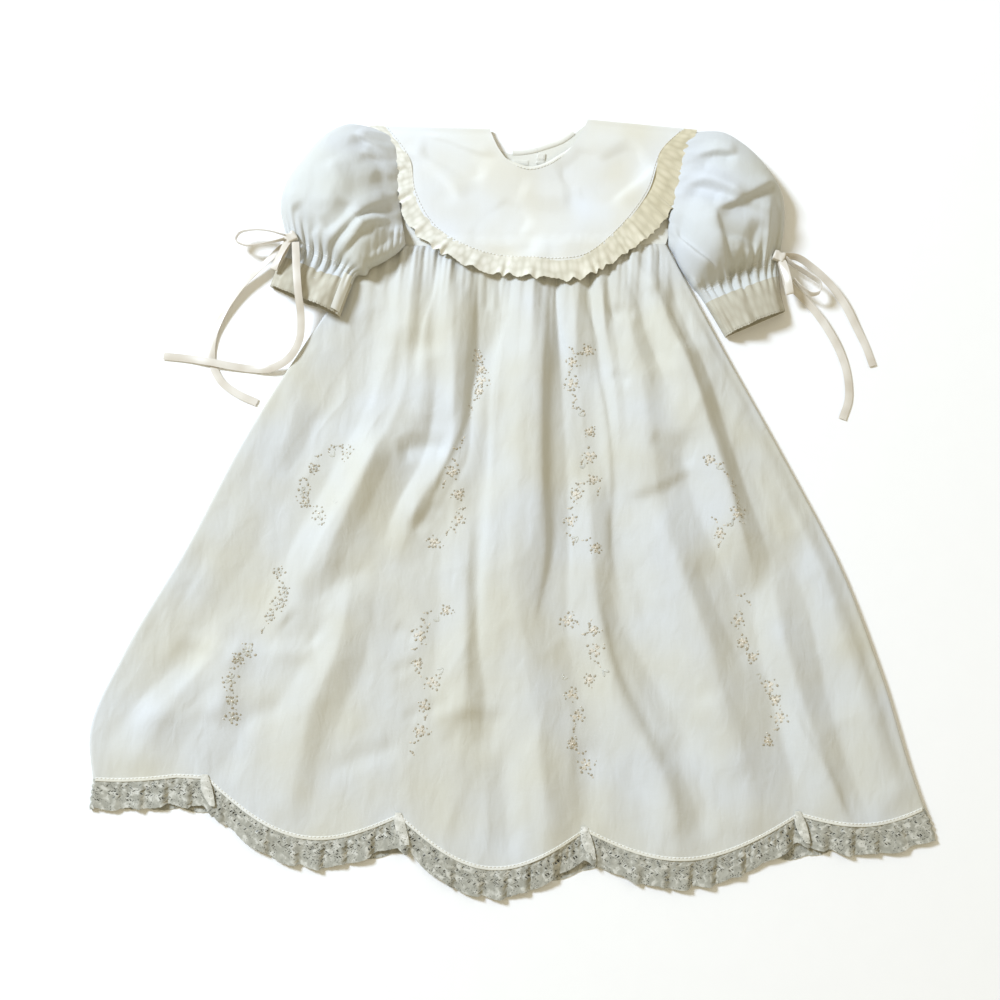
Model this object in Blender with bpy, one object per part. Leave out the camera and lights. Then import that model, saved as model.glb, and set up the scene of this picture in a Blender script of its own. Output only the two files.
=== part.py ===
"""A child's white flower girl dress, laid flat on its back.

Every piece of cloth is a wall of its own: gathered skirt panels, yokes, a round bib collar,
puffed sleeves, gathered lace at collar, cuffs and hem, and ribbon bows. The floor is Z = 0,
+Y points from hem to neck and +X to the right of someone who looks at the front.
All sizes are in millimetres and are turned to metres when a mesh is made.
"""

import math

import bmesh
import bpy
import numpy as np
from mathutils import Matrix, Vector

MM = 0.001

# Cloth and lace
CLOTH_WALL = 1.2
LACE_WALL = 1.0
RIBBON_WALL = 1.0
SEAM_GAP = 0.3
SIDE_SEAM_GAP = 0.9
LAYER = CLOTH_WALL + SEAM_GAP

# Heights of the middle of each layer above the floor
Z_FLOOR = CLOTH_WALL / 2
Z_YOKE_BACK = Z_FLOOR + LAYER
Z_YOKE_SEAM = Z_YOKE_BACK + LAYER
YOKE_LOFT = 1.5
YOKE_WAIST_LOFT = 0.5
YOKE_WAIST_RUN = 25
YOKE_PRESSED_RUN = 26
SIDE_FOLD_RADIUS = 2.5
Z_SKIRT_TOP = Z_FLOOR + 2 * SIDE_FOLD_RADIUS

# Skirt outline from the waist seam down: y and x of the left and the right folded edge,
# and how far the left side seam lies inside the left edge
# columns: share of the length, left x, left y, right x, right y, seam inset
SKIRT_EDGES = (
    (0.00, -152, 206, 105, 227, 26),
    (0.20, -204, 113, 158, 135, 44),
    (0.40, -249, 20, 213, 42, 43),
    (0.60, -286, -74, 264, -50, 31),
    (0.80, -328, -167, 302, -143, 22),
    (0.93, -347, -227, 324, -203, 12),
    (1.00, -340, -260, 337, -235, 4),
)
HEM_SAG = 37
HEM_SAG_START = 0.1

# Scallops of the hem: start and end as a share of the width, and depth
FRONT_SCALLOPS = (
    (-0.10, 0.135, 9),
    (0.135, 0.370, 30),
    (0.370, 0.593, 33),
    (0.593, 0.848, 26),
    (0.848, 1.040, 17),
)
BACK_SCALLOPS = (
    (-0.04, 0.170, 8),
    (0.170, 0.400, 18),
    (0.400, 0.630, 20),
    (0.630, 0.780, 10),
    (0.780, 0.930, 12),
    (0.930, 1.080, 6),
)
SCALLOP_START = 0.78
BACK_SEAM_INSET = 12
BACK_HEM_BLEND = 0.03

# Folds of the skirt front, each a soft ridge that runs down the skirt
# columns of a row: y, x of the crest, height, half width to the left, half width to the right
FOLDS = {
    "left": ((199, -117, 5, 11, 12), (131, -115, 9, 14, 17), (67, -116, 12, 15, 19),
             (5, -141, 12, 15, 22), (-70, -176, 8, 13, 25), (-145, -192, 0, 17, 25)),
    "second": ((202, -83, 5, 11, 11), (134, -78, 9, 14, 12), (71, -72, 10, 12, 9),
               (16, -73, 8, 12, 9), (-20, -93, 7, 10, 10), (-75, -108, 0, 10, 12)),
    "inner left": ((20, -45, 0, 10, 7), (-77, -50, 6, 12, 8), (-135, -46, 7, 13, 8),
                   (-185, -44, 6, 15, 9), (-255, -47, 1, 15, 11)),
    "centre": ((207, -15, 5, 11, 11), (148, -9, 9, 15, 13), (75, -14, 12, 24, 21),
               (13, -12, 13, 24, 24), (-65, -9, 11, 25, 25), (-132, 0, 8, 27, 22),
               (-197, 17, 7, 18, 18), (-253, 25, 7, 15, 16), (-310, 30, 3, 15, 16)),
    "flower": ((210, 22, 4, 7, 7), (151, 28, 6, 9, 10), (78, 37, 6, 10, 10),
               (17, 47, 6, 12, 10), (-61, 55, 6, 12, 10), (-127, 67, 5, 17, 15),
               (-192, 92, 6, 15, 16), (-246, 127, 7, 13, 15), (-290, 135, 3, 13, 13)),
    "thin": ((212, 48, 5, 6, 6), (143, 54, 6, 6, 6), (84, 63, 0, 6, 6)),
    "right": ((213, 67, 5, 11, 12), (145, 77, 9, 16, 16), (82, 91, 13, 26, 22),
              (30, 100, 14, 27, 22), (-5, 107, 9, 26, 22), (-39, 118, 13, 22, 22),
              (-89, 139, 13, 23, 20), (-154, 162, 12, 25, 22), (-210, 185, 9, 23, 20),
              (-260, 198, 4, 20, 18)),
    "edge": ((215, 89, 4, 9, 7), (156, 107, 8, 14, 9), (103, 131, 12, 19, 9),
             (60, 146, 12, 21, 9), (16, 162, 11, 22, 9), (-26, 177, 9, 20, 10),
             (-80, 194, 0, 17, 12)),
    "flank": ((-50, 206, 0, 10, 13), (-117, 217, 8, 12, 15), (-165, 233, 8, 13, 12),
              (-213, 252, 8, 15, 11), (-262, 274, 3, 16, 10)),
    "side": ((110, 168, 0, 12, 14), (3, 221, 4, 14, 17), (-80, 260, 5, 15, 17),
             (-153, 289, 6, 18, 15), (-232, 313, 3, 16, 13)),
    "left low": ((-120, -236, 0, 13, 15), (-192, -274, 6, 15, 15), (-245, -304, 3, 16, 16)),
    "left mid": ((-70, -146, 0, 13, 13), (-151, -151, 7, 12, 13), (-201, -168, 6, 15, 13),
                 (-275, -176, 2, 15, 13)),
}
SEAM_TROUGH = ((170, -135, 0, 12, 17), (90, -165, -2.2, 14, 18), (-1, -198, -2.6, 15, 20),
               (-116, -252, -2.6, 15, 22), (-240, -325, -1, 13, 18))
FOLD_BLEND = 3.0
FOLD_END_FADE = 25
FOLD_AT_WAIST = 0.15
FOLD_RISE = 42
EDGE_FADE = 18
GATHER_PITCH = 14.5
GATHER_HEIGHT = 1.7
GATHER_REACH = 38
GATHER_DRIFT = 1.1
GATHER_DRIFT_RUN = 21

# Neck, collar and armholes: x, y of the points each curve runs through
NECK_FRONT = ((-58, 324), (-49, 305), (-39, 293), (-21, 286), (-4, 292), (9, 303), (21, 321), (29, 340))
NECK_BACK = ((-58, 324), (-50, 309), (-38, 305), (-22, 307), (-6, 313), (8, 320), (19, 330), (29, 340))
COLLAR_EDGE = ((-153, 320), (-130, 289), (-122, 257), (-105, 229), (-68, 207), (-14, 201), (34, 207),
               (62, 235), (86, 272), (99, 316), (116, 337.5))
LACE_EDGE = ((-166, 319.5), (-147, 305), (-139, 284), (-136, 258), (-122, 226), (-78, 195), (-22, 185),
             (34, 188), (72, 219), (101, 254), (116, 300), (128, 337.2))
ARMHOLE_LEFT = ((-170, 319.3), (-153, 310), (-144, 290), (-140, 262), (-135, 236), (-128, 208))
ARMHOLE_RIGHT = ((132, 337), (124, 325), (121, 304), (114, 277), (109, 252), (108.5, 229))
COLLAR_EDGE_BACK = ((-153, 320), (-124, 284), (-100, 256), (-56, 240), (-11, 236),
                    (30, 242), (62, 262), (92, 296), (116, 337.5))
LACE_EDGE_BACK = ((-161, 319.7), (-142, 302), (-127, 276), (-103, 248), (-60, 230), (-11, 225),
                  (34, 231), (69, 252), (101, 290), (125, 337.2))
ARMHOLE_GAP = 1.6
SHOULDER_INSET = 1.3
CURVE_STEP = 0.01
YOKE_CORNER = 0.07
YOKE_CORNER_POWER = 6
YOKE_WAIST_WIDTH = 232
YOKE_ROW_POWER = 1.5
ARMHOLE_REACH = 4
BIB_COLUMNS = 26
SHOULDER_TURNS = 5
CENTRE_BACK = 0.5
NECK_SHARES = (0.35, 0.70)
SHOULDER_RADIUS = (Z_YOKE_SEAM + LAYER - Z_FLOOR) / 2
COVER_REACH = 6
COLLAR_LOFT = 0.5
COLLAR_SHOULDER_RUN = 9
COLLAR_WAVE = 3.0
COLLAR_WAVE_FADE = 30
COLLAR_LACE_WAVES = 27
COLLAR_LACE_WAVE = 2.2
COLLAR_LACE_GAP = 0.035
COLLAR_LACE_FADE = 0.03
NECK_BAND_WIDTH = 4.2
NECK_BAND_SPAN = (0.06, 0.94)
NECK_BACK_SPANS = {"left": (0.24, 0.495), "right": (0.505, 0.86)}
NECK_BACK_GAP = 0.4
CENTRE_BACK_GAP = 0.002

# Waves of the collar: share of the wave height, run along x, run along y, phase
COLLAR_WAVES = (
    (0.3, 19, 31, 0.0),
    (0.2, 33, -17, 1.0),
)

# Small closure parts inside the back of the neck: centre x, y, width and length
PLACKET = (-29, 296.5, 15, 5)
TAB = (-11, 301.3, 8, 10)

# Sleeves: x, y along the outer fold and along the inner fold, from armhole to cuff end
# columns: share of the length, outer x, outer y, inner x, inner y, height of the puff
SLEEVE_LEFT = (
    (0.00, -170, 319.3, -128, 208, 3.0),
    (0.10, -184, 321, -129, 200, 15),
    (0.25, -203, 310, -132, 192, 27),
    (0.45, -222, 283, -140, 184, 34),
    (0.62, -236, 256, -149, 179, 31),
    (0.75, -238, 235, -157, 177, 20),
    (0.86, -231, 208, -165, 176, 8),
    (1.00, -236, 181, -170, 160, 11),
    (1.20, -240, 163, -176, 137, 12),
)
SLEEVE_RIGHT = (
    (0.00, 132, 337, 110.5, 228.5, 3.0),
    (0.10, 148, 339, 113, 220, 15),
    (0.25, 169, 328, 117, 212, 27),
    (0.45, 194, 302, 122, 203, 34),
    (0.62, 207, 277, 127, 195, 31),
    (0.75, 209, 250, 131, 189, 20),
    (0.86, 206, 221, 136, 184, 8),
    (1.00, 207, 196, 147, 168, 11),
    (1.20, 212, 173, 161, 146, 12),
)
ELASTIC = 0.86
SLEEVE_ROUNDNESS = 0.75
SLEEVE_CLEARANCE = 0.6
SLEEVE_ONTO_SKIRT = 24
SLEEVE_CLIMB_RUN = 18
SLEEVE_FEEL = (-5, 0, 5, 10)
ARMHOLE_FADE = 0.5
HEAD_GATHERS = 9
CUFF_GATHERS = 13
LACE_PLEATS = 11
HEAD_GATHER_HEIGHT = 2.2
HEAD_GATHER_RUN = 0.16
HEAD_GATHER_START = 0.05
CUFF_GATHER_HEIGHT = 1.9
CUFF_GATHER_RUN = 0.11
CUFF_SEAM = 0.004
CUFF_PLEAT_HEIGHT = 1.5
CUFF_PLEAT_SWING = 0.8

# Hem lace
HEM_LACE_WIDTH = 24
HEM_LACE_FLARE = 10
HEM_PLEAT = 15.5
HEM_PLEAT_HEIGHT = 1.5
HEM_PLEAT_SWING = 0.8
HEM_PLEAT_DRIFT = 0.8
HEM_PLEAT_DRIFT_RUN = 37
HEM_LACE_RISE = 3.4
HEM_LACE_GAP = 0.5
HEM_PLEAT_END = 332
HEM_FLARE_START = 270
HEM_FLARE_RUN = 65

# Ribbons, 6.5 mm satin; columns of a route: x, y, z, twist of the width in degrees
RIBBON_WIDTH = 6.5
KNOTS = {
    "bow_left_knot": (-225, 205.5, 12.8),
    "bow_right_knot": (204, 220, 11.5),
}
KNOT_SIZE = (8.5, 7.5, 5.0)
KNOT_BEVEL = 0.22
STANDING_LOOPS = {
    "bow_left_loop": ((-230.1, 206.8, 14.2, 84), (-246, 210, 13.8, 76), (-260, 210, 12.8, 76),
                      (-271, 206, 12, 82), (-273, 200, 11.8, 90), (-266, 196, 12, 98),
                      (-252, 197, 13.0, 98), (-240, 200, 14.0, 96), (-230.1, 203.4, 14.2, 90)),
    "bow_right_loop": ((209.8, 219.2, 12.4, 86), (216, 213.5, 12.2, 84), (223, 209.5, 12, 80),
                       (232, 204, 12, 80), (241, 197, 11.8, 86), (241, 190, 11.8, 96),
                       (234, 187, 11.8, 100), (225, 192, 12, 96), (217, 199.5, 12.2, 92)),
}
LAID_LOOPS = {
    "bow_left_short": ((-227.4, 201, 14.3, 0), (-230.5, 192, 15.6, 0), (-234.5, 181, 15.8, 0),
                       (-237, 174.5, 13.6, 0), (-234.5, 181, 11.8, 0), (-230.5, 192, 11.6, 0),
                       (-227.4, 201, 11.3, 0)),
    "bow_right_short": ((206.5, 215.6, 13.2, 0), (209.5, 205, 15.2, 0), (212.5, 192, 15.8, 0),
                        (214, 185, 13.6, 0), (212.5, 192, 11.4, 0), (209.5, 205, 10.6, 0),
                        (206.5, 215.6, 10.2, 0)),
}
TAILS = {
    "ribbon_left_a": ((-227, 204, 9.4, 0), (-235, 195, 8.0, 10), (-249, 179, 6.6, 30),
                      (-265, 159, 3.8, 40), (-278, 136, 2.4, 30), (-285, 114, 1.4, 15),
                      (-284, 92, 0.7, 0), (-274, 74, 0.7, 0), (-257, 63, 0.7, 0), (-241, 57, 0.7, 0)),
    "ribbon_left_b": ((-220.4, 201.2, 13.8, 0), (-218.4, 189, 17.3, 0), (-215.8, 171, 18.4, 0),
                      (-212.5, 152, 18.4, 0), (-209, 133, 13.0, 0), (-209, 113, 9.6, 0),
                      (-217, 96, 8.6, -10), (-231, 88, 4.2, -10), (-249, 87, 0.9, 0),
                      (-266, 88, 1.4, 0), (-284, 90, 2.6, 0), (-302, 92, 1.0, 0), (-326, 93, 0.7, 0)),
    "ribbon_right_a": ((208.9, 221.5, 11.5, 60), (220, 221.5, 9.6, 50), (235, 214, 6.6, 45),
                       (251, 201, 4.2, 40), (265, 183, 2.6, 25), (276, 163, 1.2, 10),
                       (285, 145, 0.7, 0), (291, 129, 0.7, 0)),
    "ribbon_right_b": ((206, 218, 8.1, 0), (209.5, 208, 6.8, 0), (214.5, 198, 5.6, 10),
                       (223, 190, 4.6, 20), (235, 179, 3.4, 30), (250, 160, 2.2, 25),
                       (262, 139, 1.2, 10), (269, 117, 0.7, 0), (270, 97, 0.7, 0), (265, 79, 0.7, 0)),
}

# Mesh density: columns and rows of each sheet
SKIRT_TOP_COLUMNS = 48
SKIRT_ROWS = 14
FOLD_COLUMNS = 5
BACK_COLUMNS = 20
SEAM_STRIP_COLUMNS = 3
FRONT_COLUMNS = SKIRT_TOP_COLUMNS + FOLD_COLUMNS + 1
ALL_BACK_COLUMNS = BACK_COLUMNS + FOLD_COLUMNS + SEAM_STRIP_COLUMNS
YOKE_COLUMNS = 20
YOKE_ROWS = 6
SLEEVE_COLUMNS = 18
SLEEVE_UNDER_COLUMNS = 9
SLEEVE_ROWS = 9
SLEEVE_ROW_POWER = 1.3
CUFF_COLUMNS = 33
CUFF_UNDER_COLUMNS = 6
COLLAR_ROWS = 6
COLLAR_BACK_COLUMNS = 12
COLLAR_BACK_ROWS = 3
NECK_BAND_COLUMNS = 22
RIBBON_STEPS = 2


def smoothstep(value):
    """Return a soft step from 0 to 1."""
    value = np.clip(value, 0.0, 1.0)
    return value * value * (3 - 2 * value)


def track(rows):
    """Return a smooth function through the rows of a table, read by their first column."""
    table = np.array(sorted(rows), dtype=float)
    keys = table[:, 0]
    values = table[:, 1:]
    slopes = np.gradient(values, keys, axis=0)

    def at(key):
        key = min(max(key, keys[0]), keys[-1])
        index = int(np.clip(np.searchsorted(keys, key) - 1, 0, len(keys) - 2))
        span = keys[index + 1] - keys[index]
        t = (key - keys[index]) / span
        start = (1 + 2 * t) * (1 - t) ** 2
        end = t * t * (3 - 2 * t)
        lean_in = t * (1 - t) ** 2 * span
        lean_out = t * t * (t - 1) * span
        return (start * values[index] + end * values[index + 1]
                + lean_in * slopes[index] + lean_out * slopes[index + 1])

    return at


def curve(points):
    """Return a smooth curve through the points, read from 0 at its start to 1 at its end."""
    points = np.array(points, dtype=float)
    steps = np.linalg.norm(np.diff(points[:, :2], axis=0), axis=1)
    shares = np.concatenate(([0.0], np.cumsum(steps))) / steps.sum()
    return track([(share, *point) for share, point in zip(shares, points)])


skirt_edges = track(SKIRT_EDGES)
left_edge_by_y = track([(row[2], row[1]) for row in SKIRT_EDGES])
right_edge_by_y = track([(row[4], row[3]) for row in SKIRT_EDGES])
fold_tracks = [track(rows) for rows in FOLDS.values()]
fold_ranges = [(rows[-1][0], rows[0][0]) for rows in FOLDS.values()]
trough_track = track(SEAM_TROUGH)
neck_front = curve(NECK_FRONT)
neck_back = curve(NECK_BACK)
collar_edge = curve(COLLAR_EDGE)
lace_edge = curve(LACE_EDGE)
collar_edge_back = curve(COLLAR_EDGE_BACK)
lace_edge_back = curve(LACE_EDGE_BACK)
armhole_left = curve(ARMHOLE_LEFT)
armhole_right = curve(ARMHOLE_RIGHT)


def waist_y(x):
    """Height of the waist seam on the page at x."""
    left, right = SKIRT_EDGES[0][1:3], SKIRT_EDGES[0][3:5]
    return left[1] + (x - left[0]) * (right[1] - left[1]) / (right[0] - left[0])


def ridge(row, x):
    """Height at x of one fold, whose two sides may have different widths."""
    crest, height, left, right = row
    width = left if x < crest else right
    return height * math.exp(-((x - crest) / width) ** 2)


def skirt_relief(x, y):
    """Height of the folds above the plain front at x, y."""
    total = 0.0
    for fold, (low, high) in zip(fold_tracks, fold_ranges):
        below = smoothstep((y - low + FOLD_END_FADE) / FOLD_END_FADE)
        ends = below * smoothstep((high + FOLD_END_FADE - y) / FOLD_END_FADE)
        total += max(ridge(fold(y), x) * ends, 0.0) ** FOLD_BLEND
    below_waist = waist_y(x) - y
    rise = FOLD_AT_WAIST + (1 - FOLD_AT_WAIST) * smoothstep(below_waist / FOLD_RISE)
    height = total ** (1 / FOLD_BLEND) * rise + ridge(trough_track(y), x)
    phase = 2 * math.pi * x / GATHER_PITCH + GATHER_DRIFT * math.sin(x / GATHER_DRIFT_RUN)
    gather = GATHER_HEIGHT * math.exp(-max(below_waist, 0) / GATHER_REACH) * math.sin(phase)
    from_edge = min(x - left_edge_by_y(y)[0], right_edge_by_y(y)[0] - x) - SIDE_FOLD_RADIUS
    return (height + gather) * smoothstep(from_edge / EDGE_FADE)


def front_z(x, y):
    """Middle height of the skirt front at x, y."""
    return Z_SKIRT_TOP + skirt_relief(x, y)


def distance_to(points, x, y):
    """Shortest distance on the page from x, y to a line of points."""
    points = np.array(points, dtype=float)
    starts, runs = points[:-1], np.diff(points, axis=0)
    share = ((x - starts[:, 0]) * runs[:, 0] + (y - starts[:, 1]) * runs[:, 1]) / (runs ** 2).sum(axis=1)
    nearest = starts + runs * np.clip(share, 0, 1)[:, None]
    return float(np.min(np.hypot(nearest[:, 0] - x, nearest[:, 1] - y)))


LEFT_SHOULDER = (NECK_FRONT[0], COLLAR_EDGE[0], ARMHOLE_LEFT[0])
RIGHT_SHOULDER = (NECK_FRONT[-1], COLLAR_EDGE[-1], ARMHOLE_RIGHT[0])


def yoke_z(x, y):
    """Middle height of the front yoke at x, y: pressed down at its seams, soft between them."""
    edges = (LEFT_SHOULDER, RIGHT_SHOULDER, ARMHOLE_LEFT, ARMHOLE_RIGHT)
    inside = min(distance_to(edge, x, y) for edge in edges)
    to_waist = smoothstep((waist_y(x) + YOKE_WAIST_RUN - y) / YOKE_WAIST_RUN)
    return Z_YOKE_SEAM + (YOKE_LOFT + YOKE_WAIST_LOFT * to_waist) * smoothstep(inside / YOKE_PRESSED_RUN)


def bodice_top(x, y):
    """Middle height of the cloth that the collar lies on."""
    return front_z(x, y) if y < waist_y(x) else yoke_z(x, y)


def cover(x, y):
    """Lowest middle height that clears the bodice all round x, y."""
    half = COVER_REACH / 2
    across = (-COVER_REACH, -half, 0, half, COVER_REACH)
    return max(bodice_top(x + dx, y + dy) for dx in across for dy in (-half, 0, half)) + LAYER


def scallop(u, scallops):
    """How far the hem hangs below the line of its cusps."""
    for start, end, depth in scallops:
        if start <= u <= end:
            return depth * math.sin(math.pi * (u - start) / (end - start))
    return 0.0


def skirt_plan(u, v, scallops):
    """Place on the page at share u of the width and v of the length."""
    left_x, left_y, right_x, right_y, _ = skirt_edges(v)
    x = left_x + u * (right_x - left_x)
    y = left_y + u * (right_y - left_y)
    sag = HEM_SAG * math.sin(math.pi * max(u - HEM_SAG_START, 0) / (1 - HEM_SAG_START)) * v * v
    hem = scallop(u, scallops) * smoothstep((v - SCALLOP_START) / (1 - SCALLOP_START))
    return x, y - sag - hem


def side_fold(edge_u, inward, angle, v, scallops):
    """Point on the round fold at one side; the angle runs from 0 on top to 180 underneath."""
    left_x, _, right_x, _, _ = skirt_edges(v)
    centre_u = edge_u + inward * SIDE_FOLD_RADIUS / (right_x - left_x)
    x, y = skirt_plan(centre_u, v, scallops)
    turn = math.radians(angle)
    z = Z_FLOOR + SIDE_FOLD_RADIUS * (1 + math.cos(turn))
    return x - inward * SIDE_FOLD_RADIUS * math.sin(turn), y, z


def skirt_front_point(column, v):
    """Middle surface of the front: over the top, round the right fold and a little way under."""
    left_x, _, right_x, _, inset = skirt_edges(v)
    width = right_x - left_x
    if column <= SKIRT_TOP_COLUMNS:
        start = (inset + SIDE_SEAM_GAP / 2) / width
        end = 1 - SIDE_FOLD_RADIUS / width
        x, y = skirt_plan(start + (end - start) * column / SKIRT_TOP_COLUMNS, v, FRONT_SCALLOPS)
        return x, y, front_z(x, y)
    if column <= SKIRT_TOP_COLUMNS + FOLD_COLUMNS:
        angle = 180 * (column - SKIRT_TOP_COLUMNS) / FOLD_COLUMNS
        return side_fold(1, -1, angle, v, FRONT_SCALLOPS)
    x, y = skirt_plan(1 - (BACK_SEAM_INSET - SEAM_GAP / 2) / width, v, FRONT_SCALLOPS)
    return x, y, Z_FLOOR


def skirt_back_point(column, v):
    """Middle surface of the back: flat underneath, round the left fold, up to the side seam."""
    left_x, _, right_x, _, inset = skirt_edges(v)
    width = right_x - left_x
    inner = SIDE_FOLD_RADIUS / width
    if column <= BACK_COLUMNS:
        start = 1 - (BACK_SEAM_INSET + SEAM_GAP / 2) / width
        u = start + (inner - start) * column / BACK_COLUMNS
        x, y = skirt_plan(u, v, BACK_SCALLOPS)
        _, front_y = skirt_plan(u, v, FRONT_SCALLOPS)
        blend = smoothstep((start - u) / BACK_HEM_BLEND)
        return x, front_y + (y - front_y) * blend, Z_FLOOR
    if column <= BACK_COLUMNS + FOLD_COLUMNS:
        angle = 180 * (1 - (column - BACK_COLUMNS) / FOLD_COLUMNS)
        return side_fold(0, 1, angle, v, FRONT_SCALLOPS)
    share = (column - BACK_COLUMNS - FOLD_COLUMNS) / SEAM_STRIP_COLUMNS
    end = (inset - SIDE_SEAM_GAP / 2) / width
    x, y = skirt_plan(inner + (end - inner) * share, v, FRONT_SCALLOPS)
    return x, y, front_z(x, y)


def material(name, colour, roughness, sheen=0.0):
    """Return a plain Principled material."""
    made = bpy.data.materials.new(name)
    made.use_nodes = True
    shader = made.node_tree.nodes["Principled BSDF"]
    shader.inputs["Base Color"].default_value = (*colour, 1.0)
    shader.inputs["Roughness"].default_value = roughness
    shader.inputs["Metallic"].default_value = 0.0
    shader.inputs["Sheen Weight"].default_value = sheen
    return made


def add_object(name, mesh, finish):
    """Add a mesh to the scene as one named sub-part."""
    mesh.materials.append(finish)
    mesh.shade_smooth()
    part = bpy.data.objects.new(name, mesh)
    bpy.context.scene.collection.objects.link(part)
    return part


def sheet(name, point, columns, rows, wall, finish, flip=False):
    """Make a sheet of cloth whose middle surface is point(s, t), and give it its wall."""
    made = bmesh.new()
    bmesh.ops.create_grid(made, x_segments=columns, y_segments=rows, size=0.5)
    for vert in made.verts:
        vert.co = Vector(point(vert.co.x + 0.5, vert.co.y + 0.5)) * MM
    if flip:
        bmesh.ops.reverse_faces(made, faces=made.faces)
    mesh = bpy.data.meshes.new(name)
    made.to_mesh(mesh)
    made.free()
    part = add_object(name, mesh, finish)
    solid = part.modifiers.new("Wall", "SOLIDIFY")
    solid.thickness = wall * MM
    solid.offset = 0.0
    solid.use_quality_normals = True
    return part


def build_skirt(cloth_front, cloth_back):
    """Make the front and the back panel of the skirt."""
    length = SKIRT_EDGES[0][2] - SKIRT_EDGES[-1][2]
    gap = SEAM_GAP / 2 / length

    def front(s, t):
        return skirt_front_point(round(s * FRONT_COLUMNS), gap + (1 - t) * (1 - gap))

    def back(s, t):
        return skirt_back_point(round(s * ALL_BACK_COLUMNS), gap + (1 - t) * (1 - gap))

    sheet("skirt_front", front, FRONT_COLUMNS, SKIRT_ROWS, CLOTH_WALL, cloth_front)
    sheet("skirt_back", back, ALL_BACK_COLUMNS, SKIRT_ROWS, CLOTH_WALL, cloth_back)


def along(point, column):
    """Point of a panel's hem between two of its columns, so that the lace follows its edge."""
    low = int(column)
    start = np.array(point(low, 1.0))
    if column == low:
        return start
    return start + (np.array(point(low + 1, 1.0)) - start) * (column - low)


def hem_lace_point(base, share):
    """Place of the lace at a share of its width below a hem point."""
    x, y, z = base
    raised = min((z - Z_FLOOR) / (Z_SKIRT_TOP - Z_FLOOR), 1)
    calm = smoothstep((HEM_PLEAT_END - abs(x)) / HEM_PLEAT) * raised
    drift = HEM_PLEAT_DRIFT * math.sin(x / HEM_PLEAT_DRIFT_RUN)
    pleat = calm * math.sin(2 * math.pi * x / HEM_PLEAT + drift)
    top_z = z - (Z_FLOOR - LACE_WALL / 2) * (1 - raised)
    edge_z = LACE_WALL / 2 + HEM_LACE_RISE * raised + HEM_PLEAT_HEIGHT * pleat
    flare = HEM_LACE_FLARE * smoothstep((x - HEM_FLARE_START) / HEM_FLARE_RUN)
    drop = HEM_LACE_GAP + (HEM_LACE_WIDTH + HEM_PLEAT_SWING * pleat) * share
    return x + flare * share, y - drop, top_z + (edge_z - top_z) * share


def build_hem_lace(lace_front, lace_back):
    """Make the gathered lace below the front hem and below the back hem."""
    def front(s, t):
        return hem_lace_point(along(skirt_front_point, round(s * 2 * FRONT_COLUMNS) / 2), 1 - t)

    def back(s, t):
        return hem_lace_point(along(skirt_back_point, round(s * 2 * ALL_BACK_COLUMNS) / 2), 1 - t)

    sheet("hem_lace_front", front, 2 * FRONT_COLUMNS, 2, LACE_WALL, lace_front)
    sheet("hem_lace_back", back, 2 * ALL_BACK_COLUMNS, 1, LACE_WALL, lace_back)


def bib_plan(a, b):
    """Place on the page of the bib: a runs shoulder to shoulder, b from neck to collar to lace edge."""
    low = min(int(a * BIB_COLUMNS), BIB_COLUMNS - 1)
    share = a * BIB_COLUMNS - low

    def at(line):
        start = line(low / BIB_COLUMNS)
        return start + (line((low + 1) / BIB_COLUMNS) - start) * share

    if b <= 1:
        return at(neck_front) * (1 - b) + at(collar_edge) * b
    return at(collar_edge) * (2 - b) + at(lace_edge) * (b - 1)


def collar_relief(x, y):
    """Soft waves of the collar, none at the shoulders."""
    from_shoulder = min(distance_to(LEFT_SHOULDER, x, y), distance_to(RIGHT_SHOULDER, x, y))
    waves = 0.5
    for share, run_x, run_y, phase in COLLAR_WAVES:
        waves += share * math.sin(x / run_x + y / run_y + phase)
    return COLLAR_WAVE * waves * smoothstep(from_shoulder / COLLAR_WAVE_FADE)


def shoulder_fold(a, b, angle):
    """Point on the fold over a shoulder; the angle runs from 0 in front to 180 behind."""
    x, y = bib_plan(a, b)
    turn = math.radians(angle)
    z = Z_FLOOR + SHOULDER_RADIUS * (1 + math.cos(turn))
    return x, y + SHOULDER_RADIUS * math.sin(turn), z


def bib_point(step, steps, b, lift):
    """Middle surface of the bib: behind the left shoulder, across the front, behind the right one."""
    if step < SHOULDER_TURNS:
        return shoulder_fold(0.0, b, 180 * (SHOULDER_TURNS - step) / SHOULDER_TURNS)
    if step > steps - SHOULDER_TURNS:
        return shoulder_fold(1.0, b, 180 * (step - steps + SHOULDER_TURNS) / SHOULDER_TURNS)
    a = (step - SHOULDER_TURNS) / (steps - 2 * SHOULDER_TURNS)
    x, y = bib_plan(a, b)
    return x, y, cover_at(x, y) + lift(a, b, x, y)


def cover_at(x, y):
    """Cover height that meets the shoulder folds without a step."""
    near = min(distance_to(LEFT_SHOULDER, x, y), distance_to(RIGHT_SHOULDER, x, y))
    low = Z_YOKE_SEAM + LAYER
    return low + (cover(x, y) + COLLAR_LOFT - low) * smoothstep(near / COLLAR_SHOULDER_RUN)


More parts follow.
